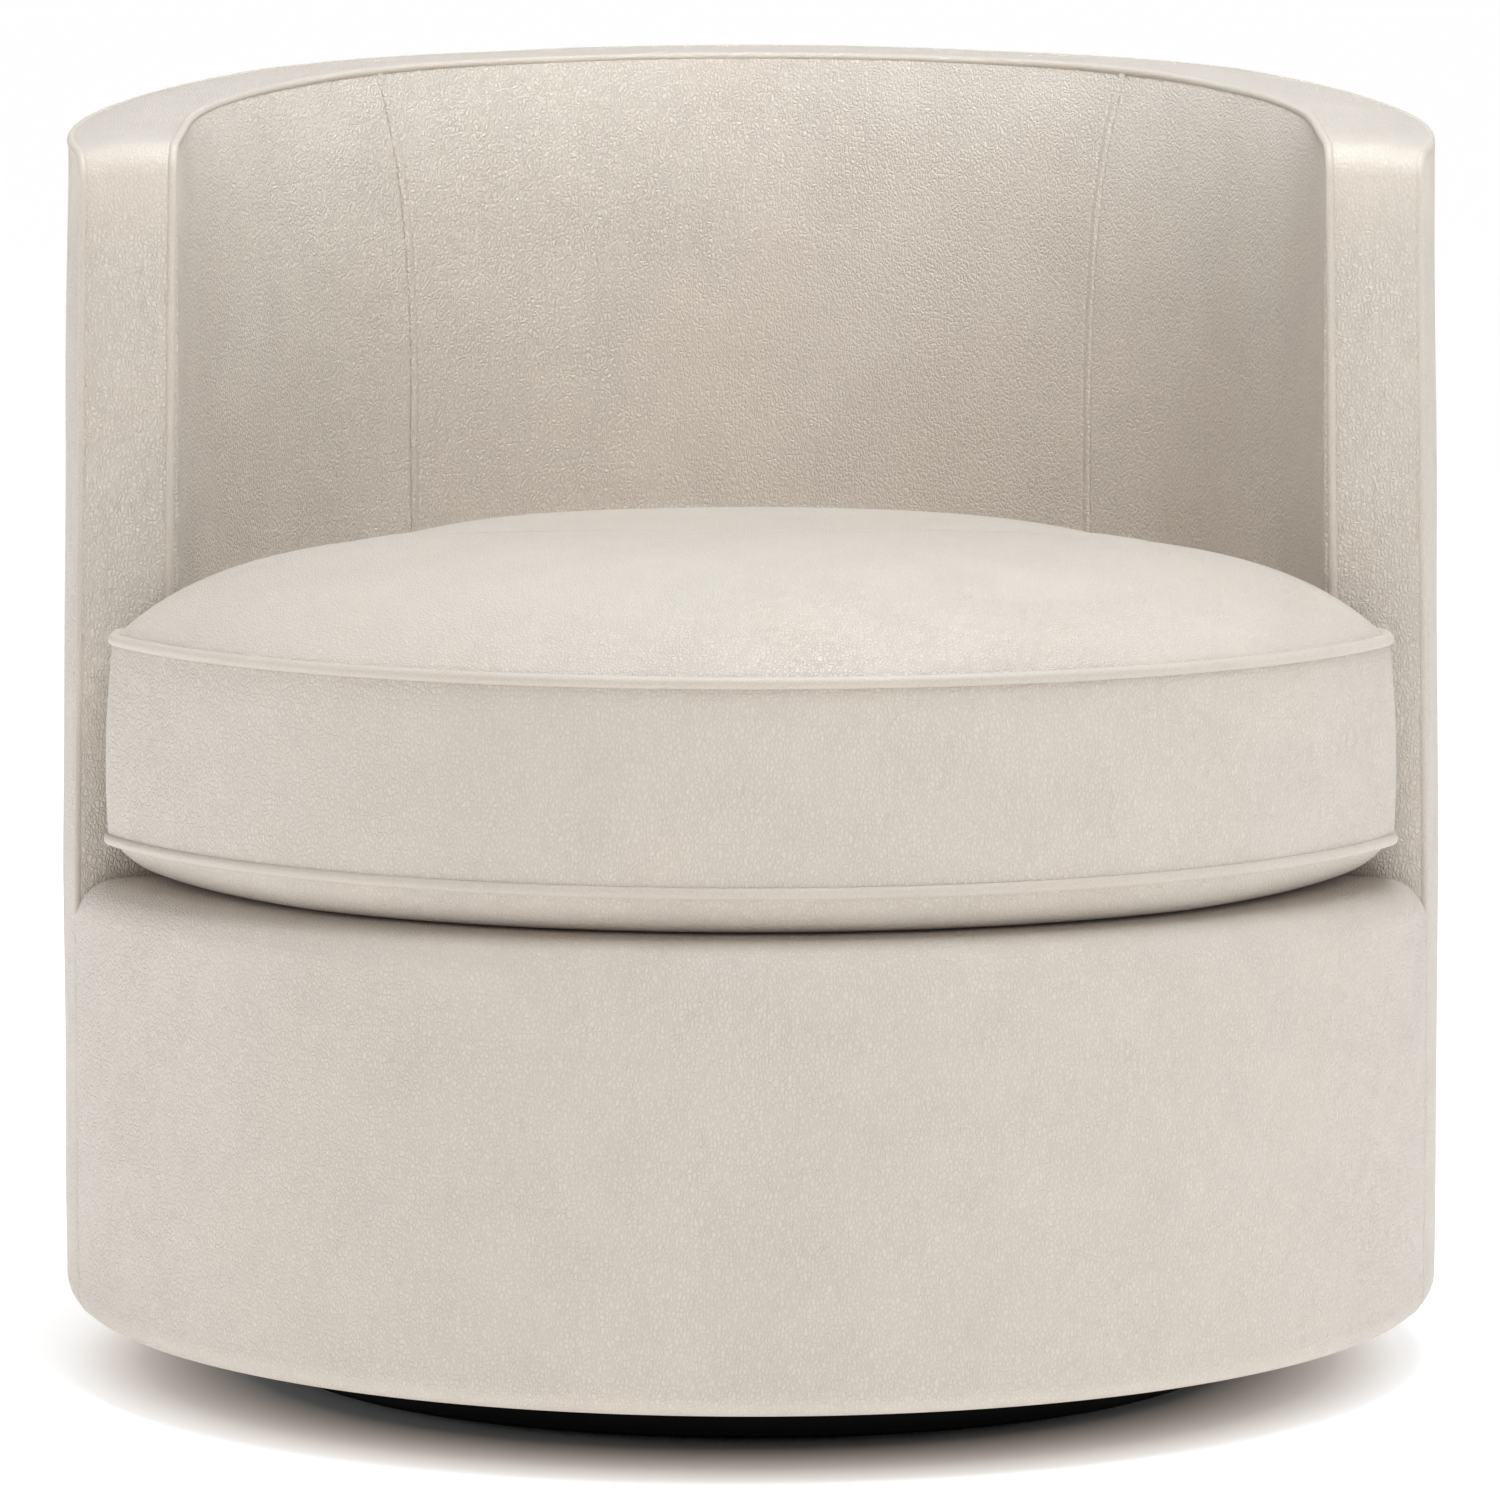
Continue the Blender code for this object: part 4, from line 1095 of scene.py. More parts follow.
    def build_front(self) -> bpy.types.Object:
        """The bowed front panel: tucked under at the foot, rolled at the top, sunk at both side seams.

        Returns:
            The piece.
        """
        form = self.form
        u = graded([-1.0, 1.0], 0.006 / 0.52, 0.0009 / 0.52, 0.03 / 0.52)[:, None]
        ring_top = form.seat_edge - form.roll_radius
        low = form.under_z + form.foot_round
        rows = graded([low, ring_top], self.step, 0.003, 0.02)[1:-1]
        layers = []
        for offset in (0.0, self.pad_thickness):
            foot = np.linspace(-math.pi / 2, 0, 9)
            reach = form.foot_round - min(offset, self.thickness)
            over = np.linspace(0, math.pi / 2, 12)
            roll = form.roll_radius - offset
            inward = np.linspace(form.roll_radius + 0.006, self.front_reach, len(self.top_rise))
            depth = np.concatenate([[form.turn_under], form.foot_round - reach * np.cos(foot),
                                    np.full(len(rows), min(offset, self.thickness)),
                                    form.roll_radius - roll * np.cos(over), inward])
            z = np.concatenate([[low - reach], low + reach * np.sin(foot), rows,
                                ring_top + roll * np.sin(over), ring_top + roll + np.array(self.top_rise)])
            rolled = len(foot) + 1 + len(rows)
            if offset:
                depth[rolled:] = np.maximum(depth[rolled:], self.thickness)
            side = (1 - np.abs(u)) * form.outer_radius * 1.30
            dip = seam_dip(side, 0.0014, 0.0012) - puckers(z[None, :], side, 5) * np.ones_like(z)[None, :]
            depth, z = depth[None, :] + dip, np.broadcast_to(z, (len(u), len(z)))
            places = self.front_points(u, depth, z)
            relief = unevenness(places, 0.17, 0.0006, 47) * np.clip((z - 0.06) / 0.05, 0, 1)
            relief = relief * np.clip(side / 0.03, 0, 1)
            out = np.clip(1 - side / self.corner_round, 0, 1)
            lowered = 0.022 * (1 - np.sqrt(1 - out ** 2)) * np.clip((z - ring_top + 0.012) / 0.034, 0, 1)
            layers.append(self.front_points(u, depth - relief * (z < ring_top), z - lowered))
        points, quads = shell(*layers)
        piece = add_piece("front_leather", points, quads, self.finishes.leather, Body.CHAIR, "leather",
                          ["front_cover", "front_roll"])
        return piece

    def welt(self, name: str, path: Array, beside: Array, node: str, seed: int) -> bpy.types.Object:
        """A covered cord: a circle whose radius wavers a little, carried along a seam.

        Args:
            name: name of the piece.
            path: the seam's points.
            beside: outward directions along it.
            node: node that it stands for.
            seed: picks how it wavers.

        Returns:
            The piece.
        """
        form = self.form
        length = run_of(path)
        sides = 14
        angle = np.arange(sides) / sides * 2 * math.pi
        waver = puckers(length[:, None], np.zeros(sides)[None, :], seed, 0.00006)
        radius = form.welt_radius + waver * (1 + 0.4 * np.cos(angle)[None, :])
        points, quads = cord(path, beside, radius, sides)
        return add_piece(name, points, quads, self.finishes.welt_leather, Body.CHAIR, "leather", [node])

    def build_welts(self) -> list[bpy.types.Object]:
        """The outer welt, from foot to foot over the rim, and the inner one, from the seat up and down.

        Returns:
            The two pieces.
        """
        form = self.form
        low = form.under_z + form.foot_round
        sink = form.welt_sink + self.outer_sink
        t, drop = form.strip_run(sink, low, 0.004)
        path = form.under_rim(t, sink, drop)
        angle = np.linspace(-math.pi / 2, 0, 12)[:-1]
        reach = form.foot_round - sink
        foot = form.points(t[0], form.foot_round - reach * np.cos(angle), low + reach * np.sin(angle))
        path = np.concatenate([foot, path, foot[::-1] * np.array([-1, 1, 1])])
        outward = path * np.array([1, 1, 0])
        outer = self.welt("outer_welt_cord", path, outward, "outer_welt", 53)
        t, drop = form.strip_run(form.welt_sink, form.seat_edge + 0.0006, 0.004)
        path = form.under_rim(t, form.wall - form.welt_sink, drop)
        inner = self.welt("inner_welt_cord", path, path * np.array([1, 1, 0]), "inner_welt", 59)
        return [outer, inner]


# Loose cushion


@dataclass
class SeatCushion:
    """The loose T cushion: crowned panels over a boxing band, with a welt in each seam and a zip behind."""

    form: WallForm
    finishes: Finishes
    clear: float = 0.006
    ear_clear: float = 0.0075
    ear_x: float = 0.3648
    front_radius: float = 0.397
    bottom_z: float = 0.3266
    top_z: float = 0.4414
    crown: float = 0.0602
    corner: tuple[float, float] = (0.31, -0.09)
    corner_fill: float = 0.0048
    corner_reach: float = 0.08
    top_dip: tuple[float, float] = (0.0027, 0.0015)
    low_dip: tuple[float, float] = (0.0016, 0.0013)
    panel_inset: float = 0.0008
    bulge: float = 0.003
    crown_y: float = -0.115
    start_share: float = 0.93
    voxel: float = 0.006
    held_reach: float = 0.011
    pressure: float = 4.0
    stiffness: float = 40.0
    bending: float = 4.0
    frames: int = 20
    longest_move: float = 0.024
    carry_reach: float = 0.008
    step: float = 0.005
    zip_width: float = 0.026
    tape_thickness: float = 0.0006
    tooth_pitch: float = 0.0032
    tooth_reach: float = 0.0016
    tooth_radius: float = 0.0004
    slider_half: tuple[float, float] = (0.006, 0.0012)
    slider_heights: tuple[float, ...] = (-0.0035, -0.0028, 0.0028, 0.0035)
    slider_shares: tuple[float, ...] = (0.6, 1.0, 1.0, 0.6)
    welt_radius: float = 0.0035
    welt_inset: float = 0.0004
    flare: float = 0.0035

    def fillet(self, before: Array, corner: Array, after: Array, radius: float, steps: int) -> Array:
        """An arc that rounds a corner between two straight runs.

        The arc's centre lies on the corner's bisector, and its points are spread evenly in angle.

        Args:
            before: a point on the run before.
            corner: the corner.
            after: a point on the run after.
            radius: the arc's radius.
            steps: number of points.

        Returns:
            steps by 2 points.
        """
        back = (before - corner) / np.linalg.norm(before - corner)
        on = (after - corner) / np.linalg.norm(after - corner)
        half = math.acos(float(np.clip(back @ on, -1, 1))) / 2
        middle = (back + on) / np.linalg.norm(back + on)
        centre = corner + middle * radius / math.sin(half)
        start = corner + back * radius / math.tan(half) - centre
        end = corner + on * radius / math.tan(half) - centre
        spread = math.acos(float(np.clip(start @ end / radius ** 2, -1, 1)))
        share = np.linspace(0, 1, steps)[:, None]
        mixed = np.sin((1 - share) * spread) * start + np.sin(share * spread) * end
        return centre + mixed / math.sin(spread)

    def outline(self, step: float) -> Array:
        """Outline of the cushion from above, evenly spaced: along the wall, round the ears, bowed front.

        Args:
            step: distance between points.

        Returns:
            n by 2 points of the closed outline, from the back centre round by the right.
        """
        form = self.form
        line = form.arm_front + self.ear_clear
        t = np.linspace(0, form.turn_of(form.arm_front), 90)
        z = np.linspace(form.seat_edge, form.rim_z - form.wall, 12)
        below = form.rim_height(form.rim_y(t, form.wall))[:, None] - z
        deepest = np.max(form.outer_radius - form.face_radius(z) + form.pad_depth(t[:, None], below), axis=1)
        along = form.points(t, deepest + self.clear, np.full(len(t), form.lean_start))[:, :2]
        inner = np.array([along[-1, 0], -line])
        tip = math.asin(self.ear_x / self.front_radius)
        back_corner = np.array([self.ear_x, -line])
        front_corner = np.array([self.ear_x, -self.front_radius * math.cos(tip)])
        bow = np.linspace(tip - 0.05, 0, 60)[:, None]
        arc = self.front_radius * np.concatenate([np.sin(bow), -np.cos(bow)], axis=1)
        half = np.concatenate([along[:-3],
                               self.fillet(along[-4], inner, back_corner, 0.008, 7),
                               self.fillet(inner, back_corner, front_corner, 0.014, 9),
                               self.fillet(back_corner, front_corner, arc[0], 0.014, 9), arc])
        full = np.concatenate([half, half[1:-1][::-1] * np.array([-1, 1])])
        return even_outline(full, step=step)

    def inset(self, outline: Array, distance: Array | float) -> Array:
        """The outline with every point moved in along its mean normal."""
        run = unit(np.roll(outline, -1, axis=0) - np.roll(outline, 1, axis=0))
        return outline + np.column_stack([run[:, 1], -run[:, 0]]) * distance

    def ring(self, outline: Array, z: Array | float, share: float = 1.0) -> Array:
        """The outline at a height, shrunk towards the crown's centre.

        The ears flare out evenly from the top seam to the bottom one. Below that the outline draws in by a
        share of the depth, more at the ears.
        """
        centre = np.array([0.0, self.crown_y])
        ahead = -outline[:, 1] - self.form.arm_front - self.ear_clear
        ear = np.clip(ahead / 0.012, 0, 1) * np.abs(outline[:, 0])
        low = np.clip((self.top_z - z) / (self.top_z - self.bottom_z), 0, 1)
        flare = 1 + self.flare * low * ear / self.ear_x ** 2
        under = np.clip(self.bottom_z - z, 0, None)
        tuck = under * (0.35 + 0.5 * np.clip((np.abs(outline[:, 0]) - 0.26) / 0.10, 0, 1))
        outline = self.inset(outline * np.column_stack([flare, np.ones(len(outline))]), tuck[:, None])
        return np.column_stack([centre + (outline - centre) * share, np.broadcast_to(z, len(outline))])

    def rings(self, outline: Array, crown: float) -> tuple[Array, Array]:
        """Rings of the whole cushion from the middle of its underside to the middle of its top.

        The top's height over its seam is the crown times 1 less the share of the way out to the power 5,
        to the power 0.9. Near the corner where the cushion turns round each arm it is fuller by a bell
        curve, so that no valley runs from there. The underside drops at once and lies flat. The boxing
        bulges as half a sine wave, and beside each seam the leather sinks in a bell curve.

        Args:
            outline: the seam line.
            crown: rise of the top panel.

        Returns:
            Rings by points by 3, and the distance of each ring from the nearest seam.
        """
        shares = 1 - graded([0.0, 1.0], 0.025, 0.0025, 0.20)
        rows, away = [], []
        drop = self.bottom_z - self.form.seat_edge - self.form.gap
        panel = self.inset(outline, self.panel_inset)
        for share in shares[::-1]:
            rise = drop * max(0.0, 1 - share ** 30.0) ** 0.4
            rows.append(self.ring(panel, self.bottom_z - rise, share))
            away.append((1 - share) * 0.3 + rise * 0.5)
        heights = graded([self.bottom_z, self.top_z], 0.0055, 0.0009, 0.02)[1:-1]
        for z in heights:
            share = (z - self.bottom_z) / (self.top_z - self.bottom_z)
            near = min(z - self.bottom_z, self.top_z - z)
            sink = float(seam_dip(np.array(near), *(self.low_dip if share < 0.5 else self.top_dip)))
            bulge = self.bulge * math.sin(math.pi * share) ** 0.7
            rows.append(self.ring(self.inset(outline, sink - bulge), z))
            away.append(near)
        turn = np.hypot(np.abs(outline[:, 0]) - self.corner[0], outline[:, 1] - self.corner[1])
        full = self.corner_fill * np.exp(-(turn / self.corner_reach) ** 2)
        power = 5.0
        for share in shares:
            rise = crown * max(0.0, 1 - share ** power) ** 0.9
            away.append((1 - share) * 0.3 + rise * 0.5)
            sink = float(seam_dip(np.array(away[-1]), 0.0010, 0.0030))
            filled = full * 12.2 * share ** 4 * (1 - share)
            rows.append(self.ring(panel, self.top_z + rise + filled - sink, share))
        return np.array(rows), np.array(away)

    def closed_mesh(self, rings: Array) -> tuple[Array, Array]:
        """Points and quads of stacked rings, whose first and last rings have shrunk to a point."""
        return rings.reshape(-1, 3), pole_faces(*rings.shape[:2])

    def evened(self, move: Array, mesh: bpy.types.Mesh, rounds: int = 220) -> Array:
        """Spread each point's movement over its neighbours, so that a tight cover shows no creases.

        Args:
            move: movement of each point.
            mesh: the mesh whose edges join them.
            rounds: times that each point takes the mean of itself and its neighbours.

        Returns:
            The evened movement.
        """
        ends = np.empty(len(mesh.edges) * 2, dtype=int)
        mesh.edges.foreach_get("vertices", ends)
        first, second = ends.reshape(-1, 2).T
        count = len(move)
        number = 1 + np.bincount(first, minlength=count) + np.bincount(second, minlength=count)
        for _ in range(rounds):
            total = [np.bincount(first, move[second, axis], count)
                     + np.bincount(second, move[first, axis], count) for axis in range(3)]
            move = (move + np.column_stack(total)) / number[:, None]
        return move

    def inflated(self, rings: Array) -> Array:
        """How air pressure moves the cover: cloth on a coarse copy, carried over to the fine rings.

        The copy is remeshed evenly and held at its seams and where it rests.

        Args:
            rings: the fine rings before.

        Returns:
            Movement of each point.
        """
        points, quads = self.closed_mesh(rings)
        soft = self.remeshed(points, quads)
        even = soft.data
        start = self.places_of(even)
        group = soft.vertex_groups.new(name="held")
        group.add(np.flatnonzero(self.held(start)).tolist(), 1.0, "REPLACE")
        self.press(soft)
        settled = bpy.data.meshes.new_from_object(soft.evaluated_get(bpy.context.evaluated_depsgraph_get()))
        move = self.evened(self.places_of(settled) - start, even)
        size = np.linalg.norm(move, axis=1)[:, None]
        move *= np.minimum(1.0, self.longest_move / np.maximum(size, 1e-9))
        bpy.context.scene.frame_set(1)
        bpy.data.objects.remove(soft)
        for old in (even, settled):
            bpy.data.meshes.remove(old)
        LOG.info("cushion pressure moves %d points by up to %.4f m", len(start), float(size.max()))
        return self.carried(points, start, move).reshape(rings.shape)

    def remeshed(self, points: Array, quads: Array) -> bpy.types.Object:
        """The closed form as an object whose mesh is even and coarse.

        Args:
            points: the form's points.
            quads: its faces, some with a point named twice.

        Returns:
            The object.
        """
        mesh = bpy.data.meshes.new("cushion_form")
        faces = [list(dict.fromkeys(quad)) for quad in quads.tolist()]
        mesh.from_pydata(points.tolist(), [], [face for face in faces if len(face) > 2])
        soft = bpy.data.objects.new("cushion_form", mesh)
        bpy.context.collection.objects.link(soft)
        remesh = soft.modifiers.new("even", "REMESH")
        remesh.mode = "VOXEL"
        remesh.voxel_size = self.voxel
        even = bpy.data.meshes.new_from_object(soft.evaluated_get(bpy.context.evaluated_depsgraph_get()))
        soft.modifiers.clear()
        soft.data = even
        bpy.data.meshes.remove(mesh)
        return soft

    def places_of(self, mesh: bpy.types.Mesh) -> Array:
        """The mesh's points as n by 3."""
        flat = np.empty(len(mesh.vertices) * 3)
        mesh.vertices.foreach_get("co", flat)
        return flat.reshape(-1, 3)

    def held(self, points: Array) -> Array:
        """Which points stay: those near a seam, and those that rest on the deck."""
        outline = self.outline(0.012)
        flat = np.min(np.linalg.norm(points[:, None, :2] - outline[None], axis=2), axis=1)
        seam = np.minimum(np.abs(points[:, 2] - self.top_z), np.abs(points[:, 2] - self.bottom_z))
        return (np.hypot(flat, seam) < self.held_reach) | (points[:, 2] < self.form.seat_edge + 0.003)

    def press(self, soft: bpy.types.Object) -> None:
        """Let air pressure fill the cover, as cloth held at its group."""
        cloth = soft.modifiers.new("cover", "CLOTH")
        cloth.settings.use_pressure = True
        cloth.settings.uniform_pressure_force = self.pressure
        cloth.settings.vertex_group_mass = "held"
        cloth.settings.tension_stiffness = self.stiffness
        cloth.settings.compression_stiffness = self.stiffness
        cloth.settings.bending_stiffness = self.bending
        cloth.settings.effector_weights.gravity = 0.0
        cloth.point_cache.frame_start, cloth.point_cache.frame_end = 1, self.frames
        for number in range(1, self.frames + 1):
            bpy.context.scene.frame_set(number)

    def carried(self, points: Array, start: Array, move: Array) -> Array:
        """Movement of the fine points: the mean of their nearest coarse points', weighted by closeness.

        Args:
            points: the fine points.
            start: the coarse points.
            move: movement of the coarse points.

        Returns:
            Movement of each fine point.
        """
        carried = np.zeros_like(points)
        squares = np.sum(start ** 2, axis=1)
        for block in np.array_split(np.arange(len(points)), max(1, len(points) // 400)):
            apart = squares - 2 * points[block] @ start.T + np.sum(points[block] ** 2, axis=1)[:, None]
            near = np.argpartition(apart, 12, axis=1)[:, :12]
            weight = np.exp(-np.take_along_axis(apart, near, axis=1) / self.carry_reach ** 2) + 1e-9
            carried[block] = np.einsum("ij,ijk->ik", weight, move[near]) / weight.sum(axis=1)[:, None]
        return carried

    def build(self) -> None:
        """Build the cushion's body, its two welts and its zip."""
        outline = self.outline(self.step)
        rings, away = self.rings(outline, self.crown * self.start_share)
        move = self.inflated(rings)
        top = rings[..., 2] > self.top_z + 0.0005
        lift = float(np.max(move[..., 2][top]))
        move *= np.where(top, self.crown * (1 - self.start_share) / max(lift, 1e-4), 0.35)[..., None]
        move *= np.clip(away / 0.012, 0, 1)[:, None, None]
        resting = rings[..., 2] < self.form.seat_edge + 0.002
        move[..., 2] = np.where(resting, np.clip(move[..., 2], 0, None), move[..., 2])
        rings = rings + move
        relief = unevenness(rings, 0.16, 0.0003, 61) * np.clip(away / 0.03, 0, 1)[:, None]
        upper = rings[..., 2] > self.top_z + 0.0005
        rings[..., 2] += np.where(upper, relief, 0.0)
        length = np.arange(rings.shape[1]) * self.step
        ripple = puckers(length[None, :], away[:, None], 67, 0.0003)
        rings[..., 2] += np.where(upper, ripple, 0.0)
        points, quads = self.closed_mesh(rings)
        body = add_piece("cushion_body", points, quads, self.finishes.leather, Body.CUSHION, "leather",
                         ["cushion_core", "cushion_top", "cushion_bottom", "cushion_boxing"])
        for name, node, z, seed in (("cushion_welt_upper", "cushion_top_welt", self.top_z, 71),
                                    ("cushion_welt_lower", "cushion_bottom_welt", self.bottom_z, 73)):
            path = self.ring(self.inset(outline, self.welt_inset), z)
            angle = np.arange(14) / 14 * 2 * math.pi
            waver = puckers(length[:, None], np.zeros(14)[None, :], seed, 0.00006)
            radius = self.welt_radius + waver * (1 + 0.4 * np.cos(angle)[None, :])
            points, quads = cord(path, np.array([0.0, 0.0, 1.0]), radius, 14, True)
            add_piece(name, points, quads, self.finishes.welt_leather, Body.CUSHION, "leather", [node])
        self.build_zip(outline)

    def build_zip(self, outline: Array) -> None:
        """The zip across the back of the boxing: two tapes, a row of teeth and a slider.

        Args:
            outline: the cushion's seam line.
        """
        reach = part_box("cushion_zip")[1][0] - 0.002
        middle = (self.bottom_z + self.top_z) / 2
        back = np.roll(outline, len(outline) // 2, axis=0)
        back = back[(np.abs(back[:, 0]) < reach) & (back[:, 1] > self.crown_y)]
        run = unit(np.gradient(back, axis=0))
        out = np.column_stack([-run[:, 1], run[:, 0]])
        face = back + out * (self.bulge + 0.0009)
        self.build_tape(face, out, middle)
        self.build_teeth(face, middle)
        self.build_slider(face[2], run[2], out[2], middle)

    def build_tape(self, face: Array, out: Array, middle: float) -> None:
        """The two tapes, which rise to a lip at each stitched edge and beside the teeth.

        Args:
            face: the line along which the zip lies.
            out: the direction away from the cushion at each of its points.
            middle: height of the teeth.
        """
        heights = np.array([-0.5, -0.45, -0.12, -0.08, 0.08, 0.12, 0.45, 0.5]) * self.zip_width
        lift = np.array([0.0, 0.0005, 0.0005, -0.0001, -0.0001, 0.0005, 0.0005, 0.0])
        layers = []
        for thick in (0.0, -self.tape_thickness):
            spot = face[:, None] + out[:, None] * (lift + thick)[None, :, None]
            tall = np.broadcast_to(middle + heights, spot.shape[:2])
            layers.append(np.concatenate([spot, tall[..., None]], axis=2))
        points, quads = shell(*layers)
        add_piece("zip_tape", points, quads, self.finishes.tape, Body.CUSHION, "zip_tape", ["cushion_zip"])

    def build_teeth(self, face: Array, middle: float) -> None:
        """The row of teeth, as one coil that winds up and down.

        Args:
            face: the line along which the zip lies.
            middle: height of the teeth.
        """
        length = run_of(face)
        places = np.arange(0.002, length[-1] - 0.002, self.tooth_pitch / 2)
        x, y = (np.interp(places, length, face[:, axis]) for axis in (0, 1))
        turn = places / self.tooth_pitch * 2 * math.pi
        coil = np.column_stack([x, y, middle + self.tooth_reach * np.sin(turn)])
        beside = np.array([0.0, 0.0, 1.0]) + 0.2 * np.column_stack([x, y, np.zeros(len(x))])
        points, quads = cord(coil, beside, self.tooth_radius, 5)
        add_piece("zip_teeth", points, quads, self.finishes.tape, Body.CUSHION, "zip_tape")

    def build_slider(self, end: Array, along: Array, out: Array, middle: float) -> None:
        """The slider at the closed end of the zip, narrower at its top and bottom.

        Args:
            end: the point of the zip's line where it sits.
            along: the direction of the line there.
            out: the direction away from the cushion there.
            middle: height of the teeth.
        """
        spot = end + out * self.slider_half[1]
        size = np.array([[-1, -1], [1, -1], [1, 1], [-1, 1]]) * self.slider_half
        plan = spot + size @ np.array([along, out])
        rings = np.stack([np.column_stack([spot + (plan - spot) * share, np.full(4, middle + z)])
                          for z, share in zip(self.slider_heights, self.slider_shares)])
        caps = np.array([[3, 2, 1, 0], [12, 13, 14, 15]])
        add_piece("zip_slider", rings, np.concatenate([grid_faces(4, 4, True), caps]), self.finishes.steel,
                  Body.CUSHION, "steel", sharp=30.0)


# Seat deck, frame and base


@dataclass
class SeatDeck:
    """The support under the cushion: springs in clips, felt pad and black deck cloth."""

    form: WallForm
    finishes: Finishes
    places: tuple[float, ...] = (-0.189, -0.0945, 0.0, 0.0945, 0.189)
    wire: float = 0.0019
    swing: float = 0.020
    waves: int = 8
    reach: float = 0.282

    def build(self) -> None:
        """Build the springs, pad and cloth, and dress the clips."""
        ring_top = self.form.seat_edge - self.form.roll_radius
        level = ring_top + 0.0016 + self.wire
        for number, x in enumerate(self.places, 1):
            reach = math.sqrt(self.reach ** 2 - x ** 2)
            waves = max(2, round(self.waves * reach / self.reach))
            share = np.linspace(0, 1, waves * 20 + 1)
            sway = self.swing * np.sin(2 * math.pi * waves * share) * np.clip(
                np.minimum(share, 1 - share) * waves * 2.5 - 0.5, 0, 1)
            path = np.column_stack([x + sway, -reach + 2 * reach * share, np.full(len(share), level)])
            points, quads = cord(path, np.array([0.0, 0.0, 1.0]), self.wire, 8)
            add_piece(f"spring_wire_{number}", points, quads, self.finishes.steel, Body.CHAIR, "steel",
                      [f"seat_spring_{number}"])
            for end in ("front", "back"):
                dress_node(f"spring_clip_{end}_{number}", self.finishes.steel)
        self.build_layer("seat_felt", "seat_pad", self.finishes.felt, "felt", 0.0)
        self.build_layer("deck_fabric", "deck_cloth", self.finishes.cloth, "cloth", 0.0004)

    def build_layer(self, name: str, node: str, finish: Material, slot: str, relief: float) -> None:
        """One flat layer of the deck, filling the space of its node, with softened edges.

        The layer's outline is that of the node seen from above, sorted round its middle.

        Args:
            name: name of the piece.
            node: node that it stands for.
            finish: its material.
            slot: its slot.
            relief: height of its gentle waves.
        """
        low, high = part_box(node)
        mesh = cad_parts[node].data
        flat = np.empty(len(mesh.vertices) * 3)
        mesh.vertices.foreach_get("co", flat)
        spots = np.unique(np.round(flat.reshape(-1, 3)[:, :2], 6), axis=0)
        turn = np.arctan2(spots[:, 1] + 0.10, spots[:, 0])
        outline = even_outline(spots[np.argsort(turn)], 320)
        centre = outline.mean(axis=0)
        shares = np.concatenate([np.linspace(0, 0.99, 34), [0.998, 1.0]])
        tall = float(high[2] - low[2])
        faces = []
        for level, sign in ((float(low[2]), 1.0), (float(high[2]), -1.0)):
            shrink = np.where(shares > 0.999, 0.25 * tall, 0.0) * sign
            rings = np.stack([np.column_stack([centre + (outline - centre) * share,
                                               np.full(len(outline), level + lift)])
                              for share, lift in zip(shares, shrink)])
            faces.append(rings)
        under, over = faces
        wave = unevenness(over, 0.09, relief, 79) if relief else 0.0
        over[..., 2] -= np.abs(wave) * (shares < 0.99)[:, None] * min(1.0, tall / 0.002)
        rings = np.concatenate([under, over[::-1]])
        piece = add_piece(name, rings, pole_faces(*rings.shape[:2]), finish, Body.CHAIR, slot, [node])


def dress_node(name: str, finish: Material) -> None:
    """Give a carried-over node its finish.

    Args:
        name: the node.
        finish: the material.
    """
    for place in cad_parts[name].material_slots:
        place.material = finish
    LOG.info("%s: dressed", name)


@dataclass
class HiddenFrame:
    """The wooden frame and liners inside the wall."""

    finishes: Finishes

    def build(self) -> None:
        """Dress the frame's nodes."""
        wood = ["bottom_board", "seat_ring", "top_rail"]
        wood += [f"post_{number}" for number in range(1, 7)]
        wood += [f"front_rib_{number}" for number in range(1, 4)]
        for name in wood:
            dress_node(name, self.finishes.plywood)
        for name in ("outer_liner", "inner_liner", "front_liner"):
            dress_node(name, self.finishes.hardboard)


